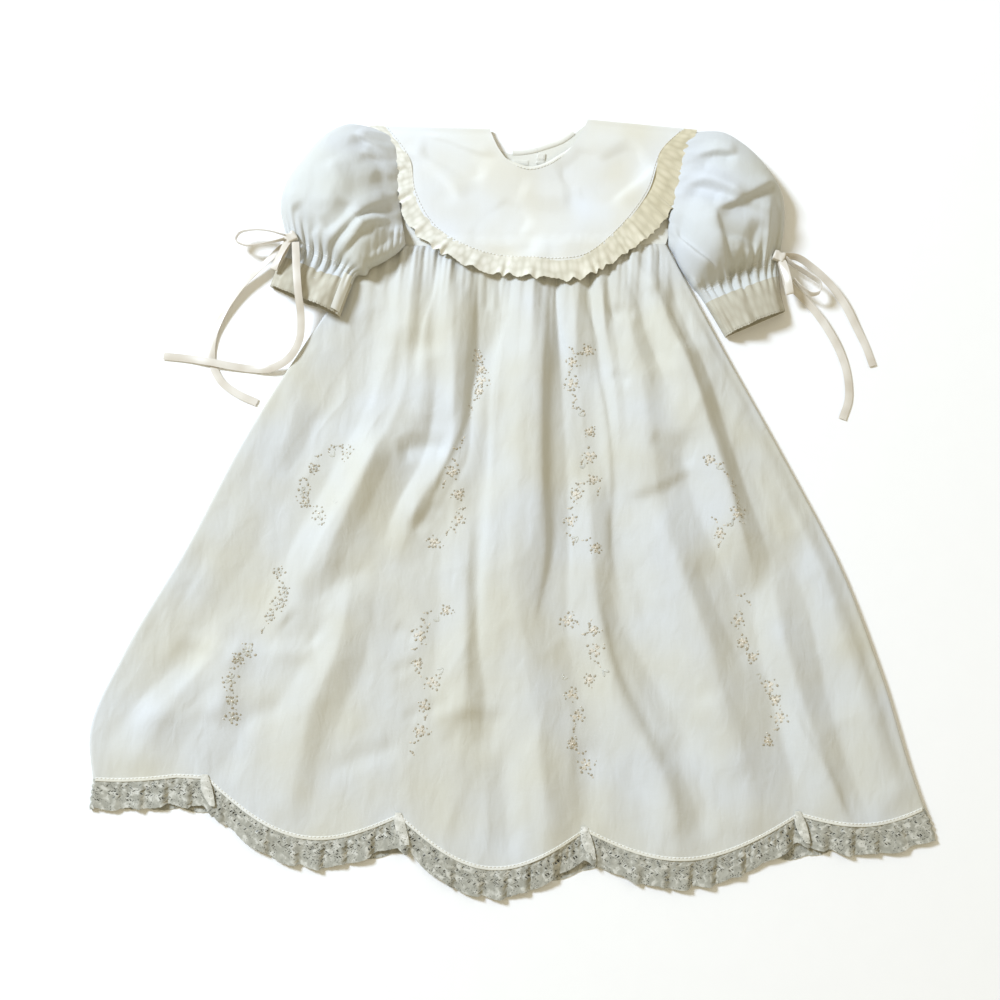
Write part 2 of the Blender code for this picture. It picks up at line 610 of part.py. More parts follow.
def build_collar(cloth, lace):
    """Make the bib collar and its gathered lace, front and back."""
    steps = BIB_COLUMNS + 2 * SHOULDER_TURNS

    def front(s, t):
        return bib_point(round(s * steps), steps, 1 - t, lambda a, b, x, y: collar_relief(x, y))

    sheet("collar_front", front, steps, COLLAR_ROWS, CLOTH_WALL, cloth)

    lace_steps = 3 * BIB_COLUMNS + 2 * SHOULDER_TURNS

    def pleated(a, b, x, y):
        share = b - 1
        wave = 0.5 - 0.5 * math.cos(2 * math.pi * COLLAR_LACE_WAVES * a)
        fade = smoothstep(min(a, 1 - a) / COLLAR_LACE_FADE)
        return collar_relief(x, y) * (1 - 0.5 * share) + COLLAR_LACE_WAVE * wave * share * fade

    def front_lace(s, t):
        b = 1 + COLLAR_LACE_GAP + (1 - COLLAR_LACE_GAP) * (1 - t)
        return bib_point(round(s * lace_steps), lace_steps, b, pleated)

    sheet("collar_lace_front", front_lace, lace_steps, 2, LACE_WALL, lace)

    halves = (("left", 0.0, CENTRE_BACK - CENTRE_BACK_GAP), ("right", 1.0, CENTRE_BACK + CENTRE_BACK_GAP))
    for side, first, last in halves:
        def back(s, t, first=first, last=last):
            a = first + (last - first) * s
            x, y = neck_back(a) * t + collar_edge_back(a) * (1 - t)
            return x, y - seam_drop(s), Z_FLOOR

        def back_lace(s, t, first=first, last=last):
            a = first + (last - first) * s
            share = COLLAR_LACE_GAP + (1 - COLLAR_LACE_GAP) * (1 - t)
            x, y = collar_edge_back(a) * (1 - share) + lace_edge_back(a) * share
            return x, y - seam_drop(s), LACE_WALL / 2

        flip = side == "right"
        sheet(f"collar_back_{side}", back, COLLAR_BACK_COLUMNS, COLLAR_BACK_ROWS, CLOTH_WALL, cloth, flip)
        sheet(f"collar_lace_back_{side}", back_lace, COLLAR_BACK_COLUMNS, 1, LACE_WALL, lace, flip)


def seam_drop(s):
    """Gap that the back collar keeps to the shoulder fold, none at the centre back."""
    return 2 * SEAM_GAP * max(0.0, 1 - 4 * s)


def build_neck_bands(cloth):
    """Make the narrow binding of the neck."""
    def front(s, t):
        a = NECK_BAND_SPAN[0] + (NECK_BAND_SPAN[1] - NECK_BAND_SPAN[0]) * s
        x, y = neck_front(a)
        ahead = neck_front(a + CURVE_STEP) - neck_front(a - CURVE_STEP)
        inward = np.array((-ahead[1], ahead[0])) / np.linalg.norm(ahead)
        near_x, near_y = np.array((x, y)) + inward * (SEAM_GAP + NECK_BAND_WIDTH * t)
        return near_x, near_y, cover_at(x, y) + collar_relief(x, y)

    sheet("neck_band_front", front, NECK_BAND_COLUMNS, 1, CLOTH_WALL, cloth)

    for side, (first, last) in NECK_BACK_SPANS.items():
        def back(s, t, first=first, last=last):
            a = first + (last - first) * s
            x, y = neck_back(a)
            ahead = neck_back(a + CURVE_STEP) - neck_back(a - CURVE_STEP)
            inward = np.array((ahead[1], -ahead[0])) / np.linalg.norm(ahead)
            near_x, near_y = np.array((x, y)) + inward * (NECK_BACK_GAP + NECK_BAND_WIDTH * (1 - t))
            return near_x, near_y, Z_YOKE_BACK + LAYER

        sheet(f"neck_band_back_{side}", back, NECK_BAND_COLUMNS // 2 - 1, 1, CLOTH_WALL, cloth)


def inside_curves(top, bottom, left, right, s, t):
    """Point inside four curves: top and bottom are read by s, left and right by t from the top."""
    straight = (1 - t) * top(s) + t * bottom(s)
    left_bow = left(t) - (1 - t) * top(0) - t * bottom(0)
    right_bow = right(t) - (1 - t) * top(1) - t * bottom(1)
    return straight + left_bow * (1 - s) ** ARMHOLE_REACH + right_bow * s ** ARMHOLE_REACH


def build_yoke(cloth):
    """Make the front yoke and the two halves of the back yoke."""
    neck_start, neck_end = NECK_SHARES
    drop = np.array((0, SHOULDER_INSET))

    def waist(s):
        x = ARMHOLE_LEFT[-1][0] + ARMHOLE_GAP + s * YOKE_WAIST_WIDTH
        return np.array((x, waist_y(x) + SEAM_GAP / 2))

    def side(armhole, inward, corner):
        def at(t):
            share = YOKE_CORNER + (1 - YOKE_CORNER) * t
            run = armhole(min(share + CURVE_STEP, 1)) - armhole(share - CURVE_STEP)
            off = np.array((-run[1], run[0])) * inward * ARMHOLE_GAP / np.linalg.norm(run)
            near_waist = t ** YOKE_CORNER_POWER
            return (armhole(share) + off) * (1 - near_waist) + corner * near_waist
        return at

    left_side = side(armhole_left, 1, waist(0))
    right_side = side(armhole_right, -1, waist(1))

    def top_line(neck):
        def at(s):
            if s < neck_start:
                return left_side(0) + (neck(0) - drop - left_side(0)) * s / neck_start
            if s > neck_end:
                share = (s - neck_end) / (1 - neck_end)
                return neck(1) - drop + (right_side(0) - neck(1) + drop) * share
            return neck((s - neck_start) / (neck_end - neck_start)) - drop
        return at

    def front(s, t):
        down = (1 - t) ** YOKE_ROW_POWER
        x, y = inside_curves(top_line(neck_front), waist, left_side, right_side, s, down)
        return x, y, yoke_z(x, y)

    sheet("yoke_front", front, YOKE_COLUMNS, YOKE_ROWS, CLOTH_WALL, cloth)

    centre = neck_start + (neck_end - neck_start) * CENTRE_BACK
    half_gap = SEAM_GAP / 2 / YOKE_WAIST_WIDTH
    for half, first, last in (("left", 0.0, centre - half_gap), ("right", centre + half_gap, 1.0)):
        def back(s, t, first=first, last=last):
            share = first + (last - first) * s
            down = (1 - t) ** YOKE_ROW_POWER
            x, y = inside_curves(top_line(neck_back), waist, left_side, right_side, share, down)
            return x, y, Z_YOKE_BACK

        sheet(f"yoke_back_{half}", back, YOKE_COLUMNS // 2, YOKE_ROWS, CLOTH_WALL, cloth)


def sleeve_floor_left(x, y):
    """Middle height of the under half of the left sleeve, which lies partly on the skirt."""
    inside = min(x - left_edge_by_y(y)[0], waist_y(x) - y)
    lifted = smoothstep((inside + SLEEVE_ONTO_SKIRT) / SLEEVE_CLIMB_RUN)
    top = max(front_z(x + dx, min(y, waist_y(x))) for dx in SLEEVE_FEEL)
    return Z_FLOOR + (top + LAYER + SLEEVE_CLEARANCE - Z_FLOOR) * lifted


def sleeve_floor_right(x, y):
    """Middle height of the under half of the right sleeve, flat on the floor."""
    return Z_FLOOR


def sleeve_plan(rows, armhole, a, b):
    """Place on the page of a sleeve: a runs from armhole to cuff, b from outer to inner fold."""
    outer_x, outer_y, inner_x, inner_y, height = rows(a)
    straight = np.array((outer_x, outer_y)) * (1 - b) + np.array((inner_x, inner_y)) * b
    chord = armhole(0) * (1 - b) + armhole(1) * b
    bulge = (armhole(b) - chord) * (1 - smoothstep(a / ARMHOLE_FADE))
    return straight + bulge, height


def gathers(a, turn, phase):
    """Height of the sleeve gathers: some at the head, more along the elastic."""
    head = HEAD_GATHER_HEIGHT * math.exp(-a / HEAD_GATHER_RUN) * math.sin(HEAD_GATHERS * turn + phase)
    near_elastic = math.exp(-((a - ELASTIC) / CUFF_GATHER_RUN) ** 2)
    cuff = CUFF_GATHER_HEIGHT * near_elastic * math.sin(CUFF_GATHERS * turn + phase)
    return (head * smoothstep(a / HEAD_GATHER_START) + cuff) * math.sin(turn / 2)


def build_sleeve(side, rows, armhole, under_floor, phase, cloth, lace):
    """Make the upper and under half of a puffed sleeve and of its cuff lace."""
    stations = track(rows)
    armhole_curve = curve(armhole)

    def upper(a, turn):
        b = (1 - math.cos(turn)) / 2
        (x, y), height = sleeve_plan(stations, armhole_curve, a, b)
        lift = math.sin(turn) ** SLEEVE_ROUNDNESS if 0 < turn < math.pi else 0.0
        z = under_floor(x, y) + LAYER / 2 + SEAM_GAP / 2 + height * lift
        return x, y, z + gathers(a, 2 * turn, phase) * lift

    def under(a, b):
        (x, y), _ = sleeve_plan(stations, armhole_curve, a, b)
        return x, y, under_floor(x, y)

    end = rows[-1][0]
    flip = side == "right"
    prefix = f"sleeve_{side}"

    def down(t):
        """Closer rows at the armhole, where the puff rises."""
        return (1 - t) ** SLEEVE_ROW_POWER

    sheet(prefix, lambda s, t: upper(down(t), math.pi * s), SLEEVE_COLUMNS, SLEEVE_ROWS,
          CLOTH_WALL, cloth, flip)
    sheet(f"{prefix}_under", lambda s, t: under(down(t), s), SLEEVE_UNDER_COLUMNS, SLEEVE_ROWS,
          CLOTH_WALL, cloth, flip)

    def past_cuff(t):
        return 1 + CUFF_SEAM + (end - 1 - CUFF_SEAM) * (1 - t)

    def pleated(s, t):
        a = past_cuff(t)
        x, y, z = upper(a, math.pi * s)
        share = (a - 1) / (end - 1)
        wave = math.sin(2 * math.pi * LACE_PLEATS * s) * math.sin(math.pi * s)
        return x, y - CUFF_PLEAT_SWING * wave * share, z + CUFF_PLEAT_HEIGHT * wave * share

    lace_name = f"cuff_lace_{side}"
    sheet(lace_name, pleated, CUFF_COLUMNS, 2, LACE_WALL, lace, flip)
    sheet(f"{lace_name}_under", lambda s, t: under(past_cuff(t), s), CUFF_UNDER_COLUMNS, 1,
          LACE_WALL, lace, flip)


def ribbon(name, route, finish, fixed_width=False):
    """Make a flat ribbon along a route; a loop that lies flat keeps its width in one direction."""
    at = curve([(x, y + 0.001 * index, z, twist) for index, (x, y, z, twist) in enumerate(route)])
    segments = RIBBON_STEPS * (len(route) - 1)
    middle = route[len(route) // 2]
    out = Vector((middle[0] - route[0][0], middle[1] - route[0][1], 0))

    def point(s, t):
        x, y, z, twist = at(s)
        run = at(min(s + CURVE_STEP, 1.0))[:3] - at(max(s - CURVE_STEP, 0.0))[:3]
        ahead = out if fixed_width else Vector(run)
        flat = Vector((-ahead.y, ahead.x, 0)).normalized()
        turn = math.radians(twist)
        across = flat * math.cos(turn) + Vector((0, 0, 1)) * math.sin(turn)
        offset = across * RIBBON_WIDTH * (t - 0.5)
        return x + offset.x, y + offset.y, z + offset.z

    sheet(name, point, segments, 1, RIBBON_WALL, finish)


def build_bows(satin):
    """Make the knots, the loops and the free ribbon ends."""
    for name, centre in KNOTS.items():
        made = bmesh.new()
        bmesh.ops.create_cube(made, size=1.0)
        bmesh.ops.bevel(made, geom=made.edges[:], offset=KNOT_BEVEL, segments=1, affect="EDGES")
        size = Matrix.Diagonal((*[side * MM for side in KNOT_SIZE], 1.0))
        bmesh.ops.transform(made, matrix=Matrix.Translation(Vector(centre) * MM) @ size, verts=made.verts)
        mesh = bpy.data.meshes.new(name)
        made.to_mesh(mesh)
        made.free()
        add_object(name, mesh, satin)
    for name, route in {**STANDING_LOOPS, **TAILS}.items():
        ribbon(name, route, satin)
    for name, route in LAID_LOOPS.items():
        ribbon(name, route, satin, fixed_width=True)


def flat_patch(name, place, z, finish):
    """Make a small flat rectangle of cloth."""
    x, y, width, length = place

    def point(s, t):
        return x + width * (s - 0.5), y + length * (t - 0.5), z

    sheet(name, point, 1, 1, CLOTH_WALL, finish)


def main():
    """Build the dress."""
    for old in list(bpy.data.objects):
        bpy.data.objects.remove(old, do_unlink=True)

    batiste = material("white cotton batiste", (0.86, 0.87, 0.88), 0.75, 0.2)
    yoke_cloth = material("white yoke batiste", (0.88, 0.88, 0.87), 0.75, 0.2)
    collar_cloth = material("white collar cotton", (0.90, 0.90, 0.88), 0.7, 0.2)
    ecru_lace = material("ecru cotton lace", (0.80, 0.77, 0.66), 0.85)
    grey_lace = material("ivory net lace", (0.66, 0.65, 0.58), 0.85)
    satin = material("ivory satin ribbon", (0.82, 0.78, 0.70), 0.35)

    build_skirt(batiste, batiste)
    build_hem_lace(grey_lace, grey_lace)
    build_yoke(yoke_cloth)
    build_collar(collar_cloth, ecru_lace)
    build_neck_bands(yoke_cloth)
    flat_patch("back_placket", PLACKET, Z_YOKE_BACK + LAYER, yoke_cloth)
    flat_patch("back_tab", TAB, Z_YOKE_BACK + 2 * LAYER, yoke_cloth)
    build_sleeve("left", SLEEVE_LEFT, ARMHOLE_LEFT, sleeve_floor_left, 0.4, batiste, ecru_lace)
    build_sleeve("right", SLEEVE_RIGHT, ARMHOLE_RIGHT, sleeve_floor_right, 1.7, batiste, ecru_lace)
    build_bows(satin)


main()
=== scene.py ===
import math

import bmesh
import bpy
import numpy as np
from mathutils import Matrix, Vector, noise


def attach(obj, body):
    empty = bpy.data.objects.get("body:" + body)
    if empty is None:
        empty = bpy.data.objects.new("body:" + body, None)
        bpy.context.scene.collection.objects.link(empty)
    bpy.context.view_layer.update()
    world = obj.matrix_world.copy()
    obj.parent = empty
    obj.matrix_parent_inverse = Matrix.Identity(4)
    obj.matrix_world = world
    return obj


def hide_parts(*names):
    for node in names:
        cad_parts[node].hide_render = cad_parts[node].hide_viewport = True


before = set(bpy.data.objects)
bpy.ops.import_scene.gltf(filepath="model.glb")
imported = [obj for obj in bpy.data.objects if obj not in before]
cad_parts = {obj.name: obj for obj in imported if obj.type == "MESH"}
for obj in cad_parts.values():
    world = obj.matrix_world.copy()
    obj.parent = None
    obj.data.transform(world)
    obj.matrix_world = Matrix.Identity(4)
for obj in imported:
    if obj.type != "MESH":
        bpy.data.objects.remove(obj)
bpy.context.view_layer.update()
mm = 0.001

dress = {
    "cadCloth": 1.2,        # wall of the solids: it sets the height of each layer
    "cloth": 0.6, "lace": 0.5, "ribbon": 0.5,       # walls drawn here
    "seamGap": 0.3, "sideSeamGap": 0.9,
    "foldRadius": 2.5,      # round edge at each side of the skirt
}
layer = dress["cadCloth"] + dress["seamGap"]
floorZ = dress["cadCloth"] / 2
yokeBackZ = floorZ + layer
yokeSeamZ = yokeBackZ + layer
skirtTopZ = floorZ + 2 * dress["foldRadius"]
lowZ = dress["cloth"] / 2       # middle of the cloth that lies on the floor


# small helpers
def smoothStep(value):
    value = np.clip(value, 0.0, 1.0)
    return value * value * (3 - 2 * value)


def track(rows):
    # smooth function through the rows of a table, read by their first column
    table = np.array(sorted(rows), dtype=float)
    keys, values = table[:, 0], table[:, 1:]
    slopes = np.gradient(values, keys, axis=0)

    def at(key):
        key = np.clip(np.asarray(key, dtype=float), keys[0], keys[-1])
        index = np.clip(np.searchsorted(keys, key) - 1, 0, len(keys) - 2)
        span = keys[index + 1] - keys[index]
        t = ((key - keys[index]) / span)[..., None]
        span = np.asarray(span)[..., None]
        start = (1 + 2 * t) * (1 - t) ** 2
        end = t * t * (3 - 2 * t)
        return (start * values[index] + end * values[index + 1]
                + t * (1 - t) ** 2 * span * slopes[index] + t * t * (t - 1) * span * slopes[index + 1])

    return at


def curve(points):
    # smooth curve through points, read from 0 at its start to 1 at its end
    points = np.array(points, dtype=float)
    steps = np.linalg.norm(np.diff(points[:, :2], axis=0), axis=1)
    shares = np.concatenate(([0.0], np.cumsum(steps))) / steps.sum()
    return track([(share, *point) for share, point in zip(shares, points)])


def distanceAlong(points):
    steps = np.linalg.norm(np.diff(points, axis=0), axis=1)
    return np.concatenate(([0.0], np.cumsum(steps)))


def columnsOf(table):
    return np.moveaxis(table, -1, 0)


def stack(x, y, z):
    x, y, z = np.broadcast_arrays(x, y, z)
    return np.stack((x, y, z), -1).astype(float)


def distanceTo(points, x, y):
    # distance on the page to a line of points, the side it lies on, and how far along it is
    points = np.array(points, dtype=float)
    starts, runs = points[:-1], np.diff(points, axis=0)
    lengths = np.hypot(runs[:, 0], runs[:, 1])
    dx, dy = x[..., None] - starts[:, 0], y[..., None] - starts[:, 1]
    share = np.clip((dx * runs[:, 0] + dy * runs[:, 1]) / lengths ** 2, 0, 1)
    gap = np.hypot(dx - share * runs[:, 0], dy - share * runs[:, 1])
    nearest = np.argmin(gap, -1)[..., None]
    cross = (runs[:, 0] * dy - runs[:, 1] * dx) / lengths
    before = np.concatenate(([0.0], np.cumsum(lengths)))[:-1] + share * lengths

    def pick(values):
        return np.take_along_axis(values, nearest, -1)[..., 0]

    return pick(gap), np.sign(pick(cross)), pick(before) / lengths.sum()


def fineNoise(x, y, size, seed=0.0, stretch=1.0):
    # soft uneven relief, -1 to 1, with bumps of about this size
    return np.array([noise.noise(Vector((a / size, b / size / stretch, seed)))
                     for a, b in zip(np.ravel(x), np.ravel(y))]).reshape(np.shape(x))


creaseForm = {
    "crest": 0.2, "flank": 1.65, "foot": 0.012,     # of a ridge: how round, how long, how soft
    "ridge": 1.25,          # share of its stated height
    "lip": 0.62, "lipRise": 0.42, "lipReach": 2.9,
    "taper": 0.22,          # share of its length over which a crease fades at each end
}


def tent(q):
    # profile of a fold: crisp at its crest, with nearly plane flanks down to its foot
    crest = creaseForm["crest"]
    flank = 1 - (np.sqrt(q * q + crest ** 2) - crest) / creaseForm["flank"]
    return (flank + np.sqrt(flank * flank + creaseForm["foot"])) / 2


def creases(rows, x, y):
    # rows: kind, height, half width, points of its line on the page. A ridge is a crisp fold and a
    # soft one is round (troughs where the height is below 0). A lip is a pleat's edge: the side on
    # the right of someone who walks along its line stands up and the other side dips.
    total = np.zeros_like(x)
    for kind, height, width, points in rows:
        line = curve(points)(np.linspace(0, 1, 4 * len(points)))
        low, high = line.min(axis=0) - 4 * width, line.max(axis=0) + 4 * width
        near = (x > low[0]) & (x < high[0]) & (y > low[1]) & (y < high[1])
        if not near.any():
            continue
        gap, side, share = distanceTo(line, x[near], y[near])
        taper = smoothStep(np.minimum(share, 1 - share) / creaseForm["taper"])
        taper = np.where((share <= 0) | (share >= 1), 0.0, taper)
        if kind == "ridge":
            total[near] += creaseForm["ridge"] * height * tent(gap / width) * taper
        elif kind == "soft":
            total[near] += height * np.exp(-(gap / width) ** 2) * taper
        else:
            rise = 1 - np.exp(-gap / (creaseForm["lipRise"] * width))
            reach = np.exp(-(gap / (creaseForm["lipReach"] * width)) ** 2)
            total[near] -= creaseForm["lip"] * height * side * rise * reach * taper
    return total


# materials: one function for each kind of real cloth, lace or thread
def linear(code):
    # sRGB hex colour as linear values
    parts = [int(code[i:i + 2], 16) / 255 for i in (1, 3, 5)]
    return (*[p / 12.92 if p <= 0.04045 else ((p + 0.055) / 1.055) ** 2.4 for p in parts], 1.0)


def link(tree, node, links):
    # a source is a socket, or a node whose factor or first output in use is read
    for key, source in links.items():
        if isinstance(source, bpy.types.Node):
            used = [out for out in source.outputs if out.enabled]
            source = min(used, key=lambda out: out.name != "Fac")
        tree.links.new(source, node.inputs[key])


def addNode(tree, kind, settings=None, links=None):
    # settings: inputs and properties by name, or the stops of a ramp
    node = tree.nodes.new(kind)
    for key, value in (settings or {}).items():
        if key == "stops":
            elements = node.color_ramp.elements
            while len(elements) < len(value):
                elements.new(0.5)
            for element, (place, code) in zip(elements, value):
                element.position, element.color = place, linear(code)
        elif isinstance(key, int) or key in node.inputs:
            node.inputs[key].default_value = value
        else:
            setattr(node, key, value)
    link(tree, node, links or {})
    return node


def newMaterial(name, settings):
    made = bpy.data.materials.new(name)
    made.use_nodes = True
    shader = made.node_tree.nodes["Principled BSDF"]
    for key, value in settings.items():
        shader.inputs[key].default_value = value
    return made, made.node_tree, shader


wavePeriod = 0.314      # metres between two bands of a wave at scale 1
multiply = {"data_type": "RGBA", "blend_type": "MULTIPLY", "Factor": 1.0}


def crossedThreads(tree, chart, threadMm, wander, firstWay):
    # threads both ways at this pitch
    ways = [addNode(tree, "ShaderNodeTexWave", {
        "Scale": wavePeriod / (threadMm * mm), "Distortion": wander, "Detail": 1.0,
        "bands_direction": way}, {"Vector": chart}) for way in (firstWay, "Y")]
    return addNode(tree, "ShaderNodeMath", {"operation": "MULTIPLY"}, dict(enumerate(ways)))


def wovenCotton(name, look):
    # plain weave: fine threads both ways, a few thicker ones, and soft handling creases
    made, tree, shader = newMaterial(name, {
        "Roughness": look["roughness"], "Sheen Weight": look["sheen"], "Sheen Roughness": 0.4,
        "Specular IOR Level": 0.3})
    chart = addNode(tree, "ShaderNodeUVMap", {"uv_map": "cloth"})
    weave = crossedThreads(tree, chart, look["threadMm"], 0.6, "X")
    # slubs: thicker threads about 1.2 mm wide and 35 mm long, both ways
    wide, long = 1 / 0.0012, 1 / 0.035
    slubs = []
    for size in ((long, wide, 1.0), (wide, long, 1.0)):
        laid = addNode(tree, "ShaderNodeMapping", {"Scale": size}, {"Vector": chart})
        slubs.append(addNode(tree, "ShaderNodeTexNoise", {"Scale": 1.0, "Detail": 1.0}, {"Vector": laid}))
    slub = addNode(tree, "ShaderNodeMath", {"operation": "ADD"}, dict(enumerate(slubs)))
    # handling creases about 11 by 24 mm
    soft = addNode(tree, "ShaderNodeMapping", {"Scale": (1 / 0.011, 1 / 0.024, 1.0)}, {"Vector": chart})
    crumple = addNode(tree, "ShaderNodeTexNoise", {
        "Scale": 1.0, "Detail": 2.5, "Roughness": 0.45, "Distortion": 0.4}, {"Vector": soft})
    # colour: two close whites in patches of about 90 mm, a little darker between the threads
    patches = addNode(tree, "ShaderNodeTexNoise", {"Scale": 1 / 0.09, "Detail": 2.0}, {"Vector": chart})
    tone = addNode(tree, "ShaderNodeValToRGB", {"stops": ((0.35, look["warm"]), (0.65, look["cool"]))},
                   {"Fac": patches})
    shade = addNode(tree, "ShaderNodeMapRange", {"To Min": 0.965, "To Max": 1.0}, {"Value": weave})
    colour = addNode(tree, "ShaderNodeMix", multiply, {"A": tone, "B": shade})
    bump = addNode(tree, "ShaderNodeBump", {"Strength": look["weaveBump"], "Distance": 0.00012},
                   {"Height": weave})
    bump = addNode(tree, "ShaderNodeBump", {"Strength": 0.25, "Distance": 0.0001},
                   {"Height": slub, "Normal": bump})
    bump = addNode(tree, "ShaderNodeBump", {"Strength": look["creaseBump"], "Distance": 0.0022},
                   {"Height": crumple, "Normal": bump})
    link(tree, shader, {"Base Color": colour, "Normal": bump})
    return made


def cottonLace(name, look):
    # bobbin lace: twisted threads, with close cloth-stitch motifs in an open ground
    made, tree, shader = newMaterial(name, {"Roughness": 0.88, "Sheen Weight": 0.12,
                                            "Specular IOR Level": 0.25})
    chart = addNode(tree, "ShaderNodeUVMap", {"uv_map": "cloth"})
    twist = crossedThreads(tree, chart, look["threadMm"], 1.5, "DIAGONAL")
    # motifs about 9 mm apart
    motif = addNode(tree, "ShaderNodeTexVoronoi", {
        "Scale": 1 / 0.009, "feature": "SMOOTH_F1", "Smoothness": 0.4, "Randomness": 0.5},
        {"Vector": chart})
    tone = addNode(tree, "ShaderNodeValToRGB", {
        "stops": ((0.12, look["light"]), (0.42, look["middle"]), (0.72, look["dark"]))}, {"Fac": motif})
    shade = addNode(tree, "ShaderNodeMapRange", {"To Min": 0.9, "To Max": 1.0}, {"Value": twist})
    colour = addNode(tree, "ShaderNodeMix", multiply, {"A": tone, "B": shade})
    # the lace is more yellow towards the end of a long strip: painted warm shade, as on the collar's right
    # side
    along = addNode(tree, "ShaderNodeSeparateXYZ", None, {"Vector": chart})
    share = addNode(tree, "ShaderNodeMapRange", {"From Min": 0.3, "From Max": 0.62}, {"Value": along})
    # painted warm shade: a warm tint multiplied in along the strip
    paintedWarmShade = addNode(tree, "ShaderNodeMix", {**multiply, "B": linear(look["paintedWarmShade"])},
                   {"Factor": share, "A": colour})
    bump = addNode(tree, "ShaderNodeBump", {"Strength": 0.3, "Distance": 0.0003}, {"Height": twist})
    link(tree, shader, {"Base Color": paintedWarmShade, "Normal": bump})
    return made


def netLace(name, look):
    # net with close cloth-stitch motifs: clusters of pinholes painted dark, a painted shade of the ground
    # below
    made, tree, shader = newMaterial(name, {"Roughness": 0.88, "Sheen Weight": 0.1,
                                            "Specular IOR Level": 0.25})
    chart = addNode(tree, "ShaderNodeUVMap", {"uv_map": "cloth"})
    # real net has about 1 mm meshes: drawn at 1.3 mm so that they show
    pin = addNode(tree, "ShaderNodeTexVoronoi", {"Scale": 1 / 0.0013, "Randomness": 0.8},
                  {"Vector": chart})
    dot = addNode(tree, "ShaderNodeMapRange", {
        "From Min": 0.2, "From Max": 0.42, "To Min": 1.0, "To Max": 0.0}, {"Value": pin})
    cluster = addNode(tree, "ShaderNodeTexNoise", {"Scale": 1 / 0.0085, "Detail": 1.0},
                      {"Vector": chart})
    gaps = addNode(tree, "ShaderNodeMapRange", {"From Min": 0.42, "From Max": 0.53},
                   {"Value": cluster})
    paintedShadeMask = addNode(tree, "ShaderNodeMath", {"operation": "MULTIPLY"}, {0: dot, 1: gaps})
    # motifs of cloth stitch about 5 mm across
    motif = addNode(tree, "ShaderNodeTexNoise", {"Scale": 1 / 0.005, "Detail": 2.0, "Distortion": 0.5},
                    {"Vector": chart})
    tone = addNode(tree, "ShaderNodeValToRGB", {
        "stops": ((0.40, look["net"]), (0.54, look["middle"]), (0.64, look["motif"]))}, {"Fac": motif})
    # painted shade: dark pinholes in the clusters, as if the shaded ground showed through
    colour = addNode(tree, "ShaderNodeMix", {"data_type": "RGBA", "B": linear(look["through"])},
                     {"Factor": paintedShadeMask, "A": tone})
    height = addNode(tree, "ShaderNodeMath", {"operation": "SUBTRACT"}, {0: motif, 1: paintedShadeMask})
    bump = addNode(tree, "ShaderNodeBump", {"Strength": 0.3, "Distance": 0.0004}, {"Height": height})
    link(tree, shader, {"Base Color": colour, "Normal": bump})
    return made


def satinRibbon(name, look):
    # polyester satin: long floats give a soft gloss across the width, with fine ribs along it
    made, tree, shader = newMaterial(name, {"Roughness": 0.32, "Sheen Weight": 0.1,
                                            "Specular IOR Level": 0.6})
    chart = addNode(tree, "ShaderNodeUVMap", {"uv_map": "cloth"})
    ribs = addNode(tree, "ShaderNodeTexWave", {
        "Scale": wavePeriod / 0.0006, "Distortion": 0.3, "bands_direction": "X"}, {"Vector": chart})
    patches = addNode(tree, "ShaderNodeTexNoise", {"Scale": 1 / 0.02, "Detail": 1.0}, {"Vector": chart})
    tone = addNode(tree, "ShaderNodeValToRGB", {"stops": ((0.35, look["dark"]), (0.65, look["light"]))},
                   {"Fac": patches})
    bump = addNode(tree, "ShaderNodeBump", {"Strength": 0.12, "Distance": 0.0001}, {"Height": ribs})
    link(tree, shader, {"Base Color": tone, "Normal": bump})
    return made


def threadMaterial(name, code, roughness=0.7, sheen=0.2, coat=0.0):
    # twisted thread or small bead: one colour with a slight uneven tone
    made, tree, shader = newMaterial(name, {"Roughness": roughness, "Sheen Weight": sheen,
                                            "Coat Weight": coat, "Coat Roughness": 0.15})
    place = addNode(tree, "ShaderNodeTexCoord").outputs["Object"]
    uneven = addNode(tree, "ShaderNodeTexNoise", {"Scale": 1 / 0.004, "Detail": 1.0}, {"Vector": place})
    shade = addNode(tree, "ShaderNodeMapRange", {
        "From Min": 0.3, "From Max": 0.7, "To Min": 0.82, "To Max": 1.0}, {"Value": uneven})
    colour = addNode(tree, "ShaderNodeMix", {**multiply, "A": linear(code)}, {"B": shade})
    link(tree, shader, {"Base Color": colour})
    return made


